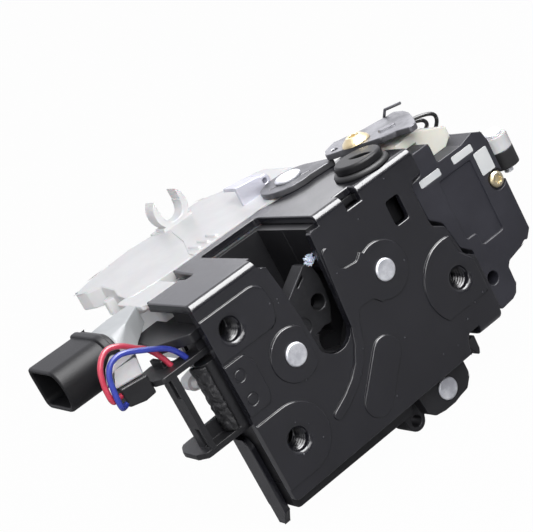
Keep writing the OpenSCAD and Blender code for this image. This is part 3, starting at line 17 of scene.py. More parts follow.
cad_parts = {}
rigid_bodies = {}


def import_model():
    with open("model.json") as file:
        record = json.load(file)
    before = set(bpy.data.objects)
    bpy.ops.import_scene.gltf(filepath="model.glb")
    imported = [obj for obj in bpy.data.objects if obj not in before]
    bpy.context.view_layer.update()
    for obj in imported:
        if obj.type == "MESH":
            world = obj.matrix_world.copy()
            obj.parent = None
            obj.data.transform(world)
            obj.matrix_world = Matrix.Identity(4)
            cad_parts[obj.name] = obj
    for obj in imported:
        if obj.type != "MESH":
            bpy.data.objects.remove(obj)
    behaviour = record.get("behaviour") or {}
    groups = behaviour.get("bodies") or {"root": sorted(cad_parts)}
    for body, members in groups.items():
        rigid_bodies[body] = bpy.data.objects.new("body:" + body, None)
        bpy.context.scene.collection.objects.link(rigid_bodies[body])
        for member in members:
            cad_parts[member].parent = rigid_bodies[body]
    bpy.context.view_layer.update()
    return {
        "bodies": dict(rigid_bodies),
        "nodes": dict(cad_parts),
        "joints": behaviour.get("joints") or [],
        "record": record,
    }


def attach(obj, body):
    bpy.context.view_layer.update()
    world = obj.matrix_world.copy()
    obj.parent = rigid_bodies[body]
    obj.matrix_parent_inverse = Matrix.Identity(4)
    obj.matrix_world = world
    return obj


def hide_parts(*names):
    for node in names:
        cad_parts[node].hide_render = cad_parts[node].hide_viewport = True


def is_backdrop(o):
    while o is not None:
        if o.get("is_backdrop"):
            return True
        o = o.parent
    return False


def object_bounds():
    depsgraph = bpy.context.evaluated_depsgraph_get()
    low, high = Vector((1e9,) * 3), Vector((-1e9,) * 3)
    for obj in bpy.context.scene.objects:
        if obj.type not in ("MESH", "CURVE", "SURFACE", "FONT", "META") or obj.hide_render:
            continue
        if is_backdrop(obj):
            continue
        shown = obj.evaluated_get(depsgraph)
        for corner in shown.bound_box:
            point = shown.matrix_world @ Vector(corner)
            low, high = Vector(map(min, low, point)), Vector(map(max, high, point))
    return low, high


LOG = logging.getLogger("door_latch")
MM = 0.001
# Preparing a mesh: points closer than this are one, and faces at a smaller angle one flat
MERGE_MM = 0.01
FLAT_DEGREES = 0.6
# Edges at more than this angle are rounded, in this many steps
SHARP_DEGREES = 32.0
ROUND_STEPS = 2
# After the rounding: faces this close to one plane are one flat, and smaller ones have no
# sure normal
FLAT_MM = 0.0006
LEAST_AREA_M2 = 1e-12
# Points of a flat's outline closer than this are one
OUTLINE_MERGE_MM = 1e-5
# Faces at a smaller angle are shaded smooth, and large ones count this much more
SMOOTH_DEGREES = 35.0
FLAT_WEIGHT = 100

# Share of a face's width that a rounding may take: beside an edge of its own kind, as the
# ridge over the foot of a step, and as that foot
EQUAL_SHARE = 0.44
RIDGE_SHARE = 0.66
FOOT_SHARE = 0.2
# Share of an edge's length that the roundings at its two ends may take
LENGTH_SHARE = 0.9
# How far to each side of itself an edge looks for others, per length ahead
LOOK_ASIDE = 0.8
# A rounding may be wider than its narrow neighbour by this factor, spread in this many passes
ROUND_GROWTH = 1.3
GROWTH_PASSES = 8
# Guards against dividing by nothing
LEAST_LENGTH_M = 1e-9
LEAST_AHEAD_M = 1e-6
LEAST_ANGLE = 0.02
LEAST_RATIO = 0.01

# The foam's creases: a broad fold and a fine one, as waves per mm and height, in units of the
# creases' depth, less their mean height
BROAD_FOLD = (0.32, 1.7)
FINE_FOLD = (0.9, 0.45)
MEAN_FOLD = 0.35
FOAM_SMOOTH_DEGREES = 70.0

# The lower fixing hole from the pawl pivot: outlines are written from the pawl pivot, in mm
HOLE_FROM_PIVOT = Vector((-50.4, 0.0, -25.5))
# Sockets of the colour mix node, whose names repeat
MIX_FACTOR, MIX_LOW, MIX_HIGH, MIX_RESULT = 0, 6, 7, 2
WHITE = (1.0, 1.0, 1.0)
Point = tuple[float, float, float]
Colour = tuple[float, float, float]


def place(x: float, y: float, z: float) -> Vector:
    """A point given in mm from the pawl pivot, in metres in the part's frame."""
    return (Vector((x, y, z)) - HOLE_FROM_PIVOT) * MM


class Value:
    """A number or a socket of a shader tree, with arithmetic that adds Math nodes."""

    def __init__(self, maker: "Maker", socket: object) -> None:
        """Keeps the socket and the maker of its tree."""
        self.maker = maker
        self.socket = socket

    def _math(self, operation: str, *others: object) -> "Value":
        """Adds one Math node on this value and the others."""
        return self.maker.node("ShaderNodeMath", {"operation": operation}, {
            index: value for index, value in enumerate((self, *others))})

    def __add__(self, other: object) -> "Value":
        """The sum with a number or another value."""
        return self._math("ADD", other)

    def __mul__(self, other: object) -> "Value":
        """The product with a number or another value."""
        return self._math("MULTIPLY", other)

    def above(self, edge: float, soft: float) -> "Value":
        """0 below the edge and 1 above it, with a soft step of the given width."""
        return self.maker.node("ShaderNodeMapRange", {"interpolation_type": "SMOOTHSTEP"}, {
            "Value": self, "From Min": edge - soft / 2, "From Max": edge + soft / 2})


class Maker:
    """Builds one material's node tree."""

    def __init__(self, name: str) -> None:
        """Starts an empty material of that name."""
        self.material = bpy.data.materials.new(name)
        self.material.use_nodes = True
        self.tree = self.material.node_tree
        self.tree.nodes.clear()
        self.output = self.tree.nodes.new("ShaderNodeOutputMaterial")
        self.coords = self.tree.nodes.new("ShaderNodeTexCoord").outputs["Object"]

    def node(self, kind: str, settings: dict | None = None, inputs: dict | None = None,
             out: object = 0) -> Value:
        """Adds a node.

        Args:
            kind: The node's type.
            settings: Properties set before its sockets are used.
            inputs: Values or sockets by input name or number.
            out: Name or number of the output to return.

        Returns:
            The output, as a Value.
        """
        made = self.tree.nodes.new(kind)
        for key, value in (settings or {}).items():
            setattr(made, key, value)
        for key, value in (inputs or {}).items():
            self._feed(made.inputs[key], value)
        return Value(self, made.outputs[out])

    def _feed(self, socket: object, value: object) -> None:
        """Links a Value to a socket, or sets its number or colour."""
        if isinstance(value, Value):
            self.tree.links.new(value.socket, socket)
        elif isinstance(value, (tuple, list)) and len(value) == 3 and socket.type == "RGBA":
            socket.default_value = (*value, 1.0)
        else:
            socket.default_value = value

    def noise(self, per_mm: float, detail: float = 3.0, rough: float = 0.55,
              stretch: Point = (1.0, 1.0, 1.0)) -> Value:
        """Noise on object coordinates.

        Args:
            per_mm: Blotches per millimetre.
            detail: Octaves of the noise.
            rough: Strength of the finer octaves.
            stretch: Factor on each axis.

        Returns:
            The noise, about 0.5 with a spread of 0.2.
        """
        scale = per_mm / MM
        mapped = self.node("ShaderNodeMapping", inputs={
            "Vector": Value(self, self.coords),
            "Scale": tuple(scale * s for s in stretch)})
        return self.node("ShaderNodeTexNoise", inputs={
            "Vector": mapped, "Scale": 1.0, "Detail": detail, "Roughness": rough})

    def cells(self, per_mm: float) -> Value:
        """Distance to the nearest point of a random scatter, on object coordinates."""
        return self.node("ShaderNodeTexVoronoi", inputs={
            "Vector": Value(self, self.coords), "Scale": per_mm / MM}, out="Distance")

    def mix(self, factor: object, low: object, high: object) -> Value:
        """Mixes two colours. Their sockets go by number, because the names repeat."""
        return self.node("ShaderNodeMix", {"data_type": "RGBA"},
                         {MIX_FACTOR: factor, MIX_LOW: low, MIX_HIGH: high}, out=MIX_RESULT)

    def bump(self, height: Value, depth_mm: float, strength: float = 1.0) -> Value:
        """A normal from a height in units of depth_mm."""
        return self.node("ShaderNodeBump", inputs={
            "Height": height, "Distance": depth_mm * MM, "Strength": strength})

    def finish(self, **sockets: object) -> bpy.types.Material:
        """Adds the surface shader with the given sockets and returns the material."""
        shader = self.tree.nodes.new("ShaderNodeBsdfPrincipled")
        for key, value in sockets.items():
            self._feed(shader.inputs[key.replace("_", " ")], value)
        self.tree.links.new(shader.outputs[0], self.output.inputs[0])
        return self.material


@dataclass(frozen=True)
class PaintedSteel:
    """Black dip paint on pressed steel: satin, with a faint flow and specks of dust.

    The noises lie about 0.5, so the roughness is lowered by about half of their weights.
    """

    name: str = "black_dip_paint"
    base: Colour = (0.0095, 0.0095, 0.0125)
    cloud_gain: float = 1.25
    worn: Colour = (0.09, 0.09, 0.1)
    dust_cover: float = 0.8
    rough: float = 0.22
    noise_rough: float = 0.1
    shine: float = 0.6
    wave_mm: float = 0.05

    def build(self) -> bpy.types.Material:
        """Makes the material."""
        m = Maker(self.name)
        cloud = m.noise(per_mm=0.06, detail=4.0, rough=0.6)
        flow = m.noise(per_mm=0.9, detail=2.0, rough=0.5)
        grain = m.noise(per_mm=6.0, detail=2.0, rough=0.5)
        speck = m.cells(per_mm=0.22)
        dust = speck.above(edge=0.055, soft=0.03) * -1.0 + 1.0
        tone = m.mix(cloud.above(edge=0.55, soft=0.35), self.base,
                     tuple(self.cloud_gain * c for c in self.base))
        tone = m.mix(dust * self.dust_cover, tone, self.worn)
        height = flow * 0.6 + grain * 0.12 + dust * 0.5
        return m.finish(
            Base_Color=tone, Specular_IOR_Level=self.shine,
            Roughness=cloud * 0.16 + grain * 0.06 + (self.rough - self.noise_rough),
            Normal=m.bump(height, self.wave_mm))


@dataclass(frozen=True)
class Moulded:
    """Moulded plastic or rubber with a fine spark-eroded grain, cloudy with a lighter tone."""

    name: str
    base: Colour
    light: Colour
    rough: float
    grain_mm: float
    coat: float = 0.0
    glow: float = 0.0
    shine: float = 0.42
    coat_rough: float = 0.25
    glow_depth_mm: float = 1.5
    flow_cover: float = 0.25
    noise_rough: float = 0.12

    def build(self) -> bpy.types.Material:
        """Makes the material."""
        m = Maker(self.name)
        cloud = m.noise(per_mm=0.07, detail=3.0, rough=0.55)
        grain = m.noise(per_mm=3.5, detail=3.0, rough=0.6)
        flow = m.noise(per_mm=0.35, detail=2.0, rough=0.5, stretch=(1.0, 0.25, 1.0))
        tone = m.mix(cloud.above(edge=0.5, soft=0.4), self.base, self.light)
        tone = m.mix(flow.above(edge=0.62, soft=0.1) * self.flow_cover, tone, self.light)
        return m.finish(
            Base_Color=tone, Specular_IOR_Level=self.shine,
            Roughness=grain * 0.16 + cloud * 0.08 + (self.rough - self.noise_rough),
            Normal=m.bump(grain + flow * 0.5, self.grain_mm),
            Coat_Weight=self.coat, Coat_Roughness=self.coat_rough,
            Subsurface_Weight=self.glow, Subsurface_Scale=self.glow_depth_mm * MM)


@dataclass(frozen=True)
class BareMetal:
    """Plated or bare steel with rolling marks, stains and tiny pits."""

    name: str
    base: Colour
    stain: Colour
    rough: float
    metallic: float = 1.0
    marks: Point = (1.0, 0.12, 1.0)
    pit_mm: float = 0.04
    speck_gain: float = 0.5
    speck_cover: float = 0.6
    noise_rough: float = 0.16

    def build(self) -> bpy.types.Material:
        """Makes the material."""
        m = Maker(self.name)
        cloud = m.noise(per_mm=0.12, detail=4.0, rough=0.6)
        fine = m.noise(per_mm=2.2, detail=4.0, rough=0.65)
        drawn = m.noise(per_mm=2.6, detail=2.0, rough=0.5, stretch=self.marks)
        tone = m.mix(cloud.above(edge=0.52, soft=0.3), self.base, self.stain)
        tone = m.mix(fine.above(edge=0.68, soft=0.12) * self.speck_cover, tone,
                     tuple(self.speck_gain * c for c in self.stain))
        return m.finish(
            Base_Color=tone, Metallic=self.metallic,
            Roughness=cloud * 0.2 + drawn * 0.16 + (self.rough - self.noise_rough),
            Normal=m.bump(drawn * 0.7 + fine * 0.6, self.pit_mm))


class Finish(Enum):
    """The finishes of the pieces."""

    DIP_PAINT = PaintedSteel()
    BLACK_NYLON = Moulded(
        "black_nylon", (0.008, 0.008, 0.0095), (0.014, 0.014, 0.016), rough=0.4,
        grain_mm=0.025)
    # A darker copy of the black nylon for the lock knob and the connector shell: its darker
    # colours are painted shade, standing in for less light on these pieces
    DEEP_NYLON = Moulded(
        "shaded_black_nylon", (0.005, 0.005, 0.006), (0.009, 0.009, 0.01), rough=0.46,
        grain_mm=0.02, shine=0.2)
    COVER_NYLON = Moulded(
        "cover_nylon", (0.016, 0.016, 0.023), (0.023, 0.023, 0.032), rough=0.5, grain_mm=0.03)
    RUBBER = Moulded(
        "black_rubber", (0.008, 0.008, 0.009), (0.014, 0.014, 0.015), rough=0.55,
        grain_mm=0.02)
    ACETAL = Moulded(
        "white_acetal", (0.66, 0.66, 0.665), (0.72, 0.72, 0.72), rough=0.4, grain_mm=0.02,
        coat=0.1, glow=0.15)
    IVORY = Moulded(
        "ivory_nylon", (0.78, 0.77, 0.68), (0.84, 0.83, 0.75), rough=0.38, grain_mm=0.02,
        coat=0.15, glow=0.15)
    GREY_RUBBER = Moulded(
        "grey_rubber", (0.5, 0.52, 0.53), (0.58, 0.6, 0.61), rough=0.5, grain_mm=0.02)
    PAD_GREY = Moulded(
        "pad_grey", (0.6, 0.62, 0.63), (0.7, 0.71, 0.71), rough=0.45, grain_mm=0.03)
    RED_WIRE = Moulded(
        "red_insulation", (0.48, 0.035, 0.07), (0.6, 0.06, 0.1), rough=0.3, grain_mm=0.01,
        coat=0.3)
    BLUE_WIRE = Moulded(
        "blue_insulation", (0.025, 0.04, 0.3), (0.04, 0.06, 0.4), rough=0.3, grain_mm=0.01,
        coat=0.3)
    BLACK_WIRE = Moulded(
        "black_insulation", (0.012, 0.012, 0.012), (0.02, 0.02, 0.02), rough=0.3,
        grain_mm=0.01, coat=0.3)
    BRIGHT_ZINC = BareMetal(
        "bright_zinc", (0.86, 0.87, 0.9), (0.66, 0.67, 0.7), rough=0.42, metallic=0.75)
    STAKED_ZINC = BareMetal(
        "staked_zinc", (0.88, 0.89, 0.92), (0.5, 0.51, 0.55), rough=0.4, metallic=0.75,
        marks=(1.0, 1.0, 1.0), pit_mm=0.16)
    YELLOW_ZINC = BareMetal(
        "yellow_zinc", (0.7, 0.62, 0.44), (0.56, 0.46, 0.28), rough=0.3)
    DARK_STEEL = BareMetal(
        "phosphated_steel", (0.028, 0.028, 0.031), (0.018, 0.018, 0.02), rough=0.42,
        metallic=0.6)
    LEVER_STEEL = BareMetal(
        "stamped_steel", (0.19, 0.19, 0.205), (0.12, 0.12, 0.13), rough=0.4, metallic=0.85)
    DECK_STEEL = BareMetal(
        "dark_stamped_steel", (0.12, 0.12, 0.13), (0.08, 0.08, 0.085), rough=0.42,
        metallic=0.8)
    CLIP_STEEL = BareMetal(
        "clip_steel", (0.62, 0.62, 0.69), (0.54, 0.54, 0.61), rough=0.34, metallic=0.35)
    WORM_BRASS = BareMetal("worm_brass", (0.62, 0.5, 0.28), (0.5, 0.38, 0.2), rough=0.3)
    FOAM = Moulded(
        "seal_foam", (0.012, 0.012, 0.013), (0.03, 0.03, 0.033), rough=0.4, grain_mm=0.25)
    GREASE = Moulded(
        "grease", (0.3, 0.36, 0.5), (0.62, 0.68, 0.8), rough=0.3, grain_mm=0.1, coat=0.3,
        glow=0.2)


@dataclass
class Shop:
    """Keeps the loaded frame and each finish's material, made once."""

    frame: dict
    made: dict[Finish, bpy.types.Material] = field(default_factory=dict)

    def material(self, finish: Finish) -> bpy.types.Material:
        """The material of a finish."""
        if finish not in self.made:
            self.made[finish] = finish.value.build()
        return self.made[finish]

    def body_of(self, node: str) -> str:
        """The body that carries a node."""
        bodies = self.frame["record"]["behaviour"]["bodies"]
        return next(body for body, nodes in bodies.items() if node in nodes)

    def paint(self, mesh: bpy.types.Mesh, finish: Finish) -> None:
        """Makes a finish the mesh's only material."""
        mesh.materials.clear()
        mesh.materials.append(self.material(finish))

    def copy_of(self, node: str) -> bpy.types.Object:
        """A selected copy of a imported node, to be reshaped."""
        piece = bpy.data.objects.new(node + "_form", self.frame["nodes"][node].data.copy())
        bpy.context.scene.collection.objects.link(piece)
        only(piece)
        return piece

    def dress(self, node: str, finish: Finish) -> None:
        """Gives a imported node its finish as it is."""
        self.paint(self.frame["nodes"][node].data, finish)
        LOG.info("dressed %s in %s", node, finish.name)

    def soften(self, node: str, finish: Finish, radius_mm: float) -> None:
        """Stands a copy of a node with rounded edges in the node's place.

        Args:
            node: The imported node.
            finish: Its finish.
            radius_mm: Width of the rounding.
        """
        piece = self.copy_of(node)
        bpy.ops.object.mode_set(mode="EDIT")
        bpy.ops.mesh.select_all(action="SELECT")
        bpy.ops.mesh.remove_doubles(threshold=MERGE_MM * MM)
        bpy.ops.mesh.dissolve_limited(angle_limit=math.radians(FLAT_DEGREES))
        bpy.ops.object.mode_set(mode="OBJECT")
        self.weigh_edges(piece.data, radius_mm * MM, math.radians(SHARP_DEGREES))
        bpy.ops.object.mode_set(mode="EDIT")
        bpy.ops.mesh.select_all(action="SELECT")
        bpy.ops.mesh.vert_connect_concave()
        bpy.ops.object.mode_set(mode="OBJECT")
        bevel = piece.modifiers.new("edges", "BEVEL")
        bevel.width = radius_mm * MM
        bevel.segments = ROUND_STEPS
        bevel.limit_method = "WEIGHT"
        bevel.use_clamp_overlap = False
        bpy.ops.object.modifier_apply(modifier=bevel.name)
        refill_flats(piece.data)
        bpy.ops.object.shade_smooth_by_angle(angle=math.radians(SMOOTH_DEGREES))
        weigh = piece.modifiers.new("flats", "WEIGHTED_NORMAL")
        weigh.keep_sharp = True
        weigh.weight = FLAT_WEIGHT
        bpy.ops.object.modifier_apply(modifier=weigh.name)
        self.stand(piece, node, finish)

    @staticmethod
    def weigh_edges(mesh: bpy.types.Mesh, radius: float, angle: float) -> None:
        """Weighs each sharp edge by the room beside it, so that roundings never meet.

        Args:
            mesh: The mesh.
            radius: Full width of the rounding, in metres.
            angle: Least angle of an edge that is rounded, in radians.
        """
        form = bmesh.new()
        form.from_mesh(mesh)
        form.edges.ensure_lookup_table()
        sharp = {e.index for e in form.edges
                 if len(e.link_faces) == 2 and e.calc_face_angle(0.0) > angle}
        ridge = np.array([e.index in sharp and e.calc_face_angle_signed(0.0) > 0
                          for e in form.edges])
        room = np.full(len(form.edges), radius)
        for face in form.faces:
            if any(l.edge.index in sharp for l in face.loops):
                room_across(face, sharp, ridge, room)
                room_along(face, sharp, room)
        for _ in range(GROWTH_PASSES):
            for vert in form.verts:
                mine = [e.index for e in vert.link_edges if e.index in sharp]
                if len(mine) > 1:
                    room[mine] = np.minimum(room[mine], ROUND_GROWTH * room[mine].min())
        weights = np.zeros(len(form.edges))
        for index in sharp:
            weights[index] = room[index] / radius
        form.free()
        layer = mesh.attributes.new("bevel_weight_edge", "FLOAT", "EDGE")
        layer.data.foreach_set("value", weights.astype(np.float32))

    def stand(self, piece: bpy.types.Object, node: str, finish: Finish) -> None:
        """Gives a piece its finish and its body, and hides the node that it stands for."""
        self.paint(piece.data, finish)
        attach(piece, self.body_of(node))
        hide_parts(node)
        self.slot_of(node)
        LOG.info("%s stands for %s: %d faces", piece.name, node, len(piece.data.polygons))

    def add(self, piece: bpy.types.Object, like: str, finish: Finish) -> None:
        """Gives an extra piece its finish and the body of a node."""
        self.paint(piece.data, finish)
        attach(piece, self.body_of(like))
        self.slot_of(like)
        LOG.info("%s goes with %s", piece.name, like)

    def slot_of(self, node: str) -> str:
        """The record's material slot of a node."""
        parts = self.frame["record"]["subparts"]
        return next(part["material_slot"] for part in parts if part["node"] == node)


def room_across(face: bmesh.types.BMFace, sharp: set[int], ridge: np.ndarray,
                room: np.ndarray) -> None:
    """Limits each sharp edge of a face by what lies across the face from it.

    Args:
        face: The face.
        sharp: Numbers of the edges that are rounded.
        ridge: Whether each edge of the mesh is a ridge.
        room: Room of each edge of the mesh in metres, lowered in place.
    """
    loops = [l for l in face.loops if l.edge.index in sharp]
    first = np.array([l.vert.co for l in loops])
    last = np.array([l.link_loop_next.vert.co for l in loops])
    middle = (first + last) / 2
    along = last - first
    length = np.maximum(np.linalg.norm(along, axis=1), LEAST_LENGTH_M)
    along = along / length[:, None]
    inward = np.cross(np.array(face.normal), along)
    # Each edge is seen by its middle, its ends and the points half-way between them
    spots = np.concatenate([middle, first, first * 0.75 + last * 0.25,
                            first * 0.25 + last * 0.75])
    whose = np.tile(np.arange(len(loops)), 4)
    high = np.array([ridge[l.edge.index] for l in loops])
    ends = [{l.vert.index, l.link_loop_next.vert.index} for l in loops]
    for i, loop in enumerate(loops):
        off = spots - middle[i]
        ahead = off @ inward[i]
        beside = np.abs(off @ along[i])
        apart = np.array([not (ends[i] & e) for e in ends])[whose]
        hit = apart & (ahead > LEAST_AHEAD_M) & (beside < ahead * LOOK_ASIDE + length[i] / 2)
        if hit.any():
            # On a step's wall the ridge takes most of the height and the foot the rest
            share = np.where(high[whose] == high[i], EQUAL_SHARE,
                             RIDGE_SHARE if high[i] else FOOT_SHARE)
            index = loop.edge.index
            room[index] = min(room[index], float((ahead * share)[hit].min()))


def room_along(face: bmesh.types.BMFace, sharp: set[int], room: np.ndarray) -> None:
    """Limits roundings that meet a sharp edge's ends, so that they don't use it up.

    Args:
        face: The face.
        sharp: Numbers of the edges that are rounded.
        room: Room of each edge of the mesh in metres, lowered in place.
    """
    for loop in face.loops:
        if loop.edge.index not in sharp:
            continue
        before, after = loop.link_loop_prev, loop.link_loop_next
        used = sum(1 / math.tan(max(corner.calc_angle(), LEAST_ANGLE) / 2)
                   for corner, beside in ((loop, before), (after, after))
                   if corner.is_convex and beside.edge.index in sharp)
        if used > LEAST_RATIO:
            most = LENGTH_SHARE * loop.edge.calc_length() / used
            for index in (before.edge.index, loop.edge.index, after.edge.index):
                room[index] = min(room[index], most)


def flat_patches(form: bmesh.types.BMesh) -> list[list[bmesh.types.BMFace]]:
    """Groups the faces into connected patches that lie in one plane.

    Args:
        form: The bmesh.

    Returns:
        The patches of two faces or more.
    """
    patches = []
    done: set[int] = set()
    form.faces.ensure_lookup_table()
    normals = [f.normal.copy() if f.calc_area() > LEAST_AREA_M2 else None
               for f in form.faces]
    for seed in sorted(form.faces, key=lambda f: -f.calc_area()):
        if seed.index in done or normals[seed.index] is None:
            continue
        plane, level = normals[seed.index], normals[seed.index].dot(seed.verts[0].co)
        done.add(seed.index)
        patch, stack = [seed], [seed]
        while stack:
            for edge in stack.pop().edges:
                for face in edge.link_faces:
                    if face.index in done:
                        continue
                    if all(abs(plane.dot(v.co) - level) < FLAT_MM * MM
                           for v in face.verts):
                        done.add(face.index)
                        patch.append(face)
                        stack.append(face)
        if len(patch) > 1:
            patches.append(patch)
    return patches


def inside_outline(spots: np.ndarray, starts: np.ndarray, ends: np.ndarray) -> np.ndarray:
    """Tells which spots an outline winds around, by crossings of a ray from each.

    Args:
        spots: The spots, a row each.
        starts: First points of the outline's edges.
        ends: Last points of the same edges.

    Returns:
        True or False for each spot.
    """
    span = (starts[:, 1] > spots[:, 1:2]) != (ends[:, 1] > spots[:, 1:2])
    rise = np.where(ends[:, 1] == starts[:, 1], 1.0, ends[:, 1] - starts[:, 1])
    slope = (ends[:, 0] - starts[:, 0]) / rise
    hit = span & (spots[:, :1] < starts[:, 0] + (spots[:, 1:2] - starts[:, 1]) * slope)
    return (hit * np.where(ends[:, 1] > starts[:, 1], 1, -1)).sum(axis=1) > 0


def refill_flats(mesh: bpy.types.Mesh) -> None:
    """Fills each flat patch anew from its outline, so that no thin face lies turned over."""
    form = bmesh.new()
    form.from_mesh(mesh)
    for patch in flat_patches(form):
        normal = sum((f.normal * f.calc_area() for f in patch), Vector()).normalized()
        members = set(patch)
        rim = [(l.vert, l.link_loop_next.vert) for f in patch for l in f.loops
               if sum(other in members for other in l.edge.link_faces) == 1]
        across = normal.orthogonal().normalized()
        up = normal.cross(across)
        level = normal * normal.dot(rim[0][0].co)
        verts = list({v: None for pair in rim for v in pair})
        index = {v: i for i, v in enumerate(verts)}
        flat = [Vector((v.co.dot(across), v.co.dot(up))) / MM for v in verts]
        edges = [(index[v], index[w]) for v, w in rim]
        points, _, tris, origin, _, _ = geometry.delaunay_2d_cdt(
            flat, edges, [], 0, OUTLINE_MERGE_MM)
        if not tris:
            continue
        back = [verts[o[0]] if o else form.verts.new(level + (across * p.x + up * p.y) * MM)
                for p, o in zip(points, origin)]
        # A triangle is kept where the outline winds around its middle
        middles = np.array([sum((points[i] for i in t), Vector((0, 0))) / 3 for t in tris])
        keep = inside_outline(middles, np.array([flat[i] for i, _ in edges]),
                              np.array([flat[j] for _, j in edges]))
        bmesh.ops.delete(form, geom=patch, context="FACES_ONLY")
        for tri, wanted in zip(tris, keep):
            corners = [back[i] for i in tri]
            if wanted and form.faces.get(corners) is None:
                face = form.faces.new(corners)
                face.normal_update()
                if face.normal.dot(normal) < 0:
                    face.normal_flip()
    bmesh.ops.delete(form, geom=[e for e in form.edges if not e.link_faces], context="EDGES")
    bmesh.ops.delete(form, geom=[v for v in form.verts if not v.link_faces], context="VERTS")
    form.to_mesh(mesh)
    form.free()


@dataclass(frozen=True)
class Thread:
    """The turns of a tapped hole: a ridge that winds along the bore."""

    name: str
    centre_mm: Point
    bore_mm: float = 3.4
    ridge_mm: float = 0.36
    root_mm: float = 0.12
    pitch_mm: float = 1.25
    root_share: float = 0.4
    crest_mm: float = 0.08
    length_mm: float = 7.4
    steps: int = 32
    smooth_degrees: float = 40.0

    def build(self, shop: Shop) -> None:
        """Winds the ridge and gives it the plate's paint."""
        form = bmesh.new()
        rings = []
        half = self.pitch_mm * self.root_share
        outer, inner = self.bore_mm + self.root_mm, self.bore_mm - self.ridge_mm
        profile = ((outer, -half), (inner, -self.crest_mm), (inner, self.crest_mm),
                   (outer, half))
        for i in range(int(self.length_mm / self.pitch_mm * self.steps) + 1):
            turn = 2 * math.pi * i / self.steps
            depth = self.pitch_mm * i / self.steps
            rings.append([form.verts.new(place(
                self.centre_mm[0] + r * math.cos(turn), self.centre_mm[1] + depth + y,
                self.centre_mm[2] + r * math.sin(turn))) for r, y in profile])
        for first, second in zip(rings, rings[1:]):
            for k in range(len(profile)):
                m = (k + 1) % len(profile)
                form.faces.new((first[k], second[k], second[m], first[m]))
        form.faces.new(rings[0])
        form.faces.new(list(reversed(rings[-1])))
        bmesh.ops.recalc_face_normals(form, faces=form.faces)
        piece = new_piece(self.name, form)
        bpy.ops.object.shade_smooth_by_angle(angle=math.radians(self.smooth_degrees))
        shop.add(piece, "latch_plate", Finish.DIP_PAINT)


@dataclass(frozen=True)
class Lump:
    """A rough blob, such as grease."""

    name: str
    centre_mm: Point
    radii_mm: Point
    rough_mm: float
    like: str
    finish: Finish
    bumps: float = 1.9
    fineness: float = 0.8
    octave_step: float = 2.0
    octaves: int = 4
    splits: int = 4
    smooth_degrees: float = 60.0

    def build(self, shop: Shop) -> None:
        """Models the blob as a ball pushed about by noise."""
        form = bmesh.new()
        bmesh.ops.create_icosphere(form, subdivisions=self.splits, radius=1.0)
        for vert in form.verts:
            out = vert.co.normalized()
            bulge = noise.fractal(out * self.bumps + Vector(self.centre_mm), self.fineness,
                                  self.octave_step, self.octaves)
            reach = 1.0 + bulge * self.rough_mm
            vert.co = place(*(c + r * o * reach
                              for c, r, o in zip(self.centre_mm, self.radii_mm, out)))
        piece = new_piece(self.name, form)
        bpy.ops.object.shade_smooth_by_angle(angle=math.radians(self.smooth_degrees))
        shop.add(piece, self.like, self.finish)


def new_piece(name: str, form: bmesh.types.BMesh) -> bpy.types.Object:
    """Turns a bmesh into a selected object.

    Args:
        name: The object's name.
        form: The bmesh, which is freed.

    Returns:
        The object, linked to the scene.
    """
    mesh = bpy.data.meshes.new(name)
    form.to_mesh(mesh)
    form.free()
    piece = bpy.data.objects.new(name, mesh)
    bpy.context.scene.collection.objects.link(piece)
    only(piece)
    return piece


def crumple(shop: Shop, node: str, finish: Finish, cell_mm: float, deep_mm: float) -> None:
    """Stands a crumpled copy of a node in its place.

    Args:
        shop: The shop.
        node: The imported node.
        finish: Its finish.
        cell_mm: Size of the new mesh's cells.
        deep_mm: Depth of the creases.
    """
    piece = shop.copy_of(node)
    cells = piece.modifiers.new("cells", "REMESH")
    cells.mode = "VOXEL"
    cells.voxel_size = cell_mm * MM
    bpy.ops.object.modifier_apply(modifier=cells.name)
    (broad, broad_height), (fine, fine_height) = BROAD_FOLD, FINE_FOLD
    for vert in piece.data.vertices:
        spot = vert.co / MM
        crease = (abs(noise.noise(spot * broad)) * broad_height
                  + noise.noise(spot * fine) * fine_height)
        vert.co += vert.normal * (crease - MEAN_FOLD) * deep_mm * MM
    bpy.ops.object.shade_smooth_by_angle(angle=math.radians(FOAM_SMOOTH_DEGREES))
    shop.stand(piece, node, finish)


def only(piece: bpy.types.Object) -> None:
    """Selects this object and nothing else, and makes it the active one."""
    for other in bpy.context.selected_objects:
        other.select_set(False)
    piece.select_set(True)
    bpy.context.view_layer.objects.active = piece


@dataclass(frozen=True)
class Lamp:
    """A soft round lamp that looks at the middle of the part."""

    name: str
    at_mm: Point
    size_m: float
    watts: float
    shine_only: bool = False
    aim_mm: Point = (-10.0, 20.0, 0.0)

    def build(self) -> None:
        """Hangs the lamp. One for shine alone is seen only in shiny surfaces."""
        data = bpy.data.lights.new(self.name, "AREA")
        data.shape = "DISK"
        data.size = self.size_m
        data.energy = self.watts
        lamp = bpy.data.objects.new(self.name, data)
        lamp.visible_diffuse = not self.shine_only
        lamp.location = place(*self.at_mm)
        aim = place(*self.aim_mm) - lamp.location
        lamp.rotation_euler = aim.to_track_quat("-Z", "Y").to_euler()
        bpy.context.scene.collection.objects.link(lamp)


LAMPS = (
    Lamp("shine", (190, -190, 520), 0.62, 16.0, shine_only=True),
    Lamp("front", (-160, -440, 360), 0.4, 3.4),
    Lamp("fill", (-460, -160, 120), 0.3, 0.5),
    Lamp("rim", (260, 320, 240), 0.3, 0.3))


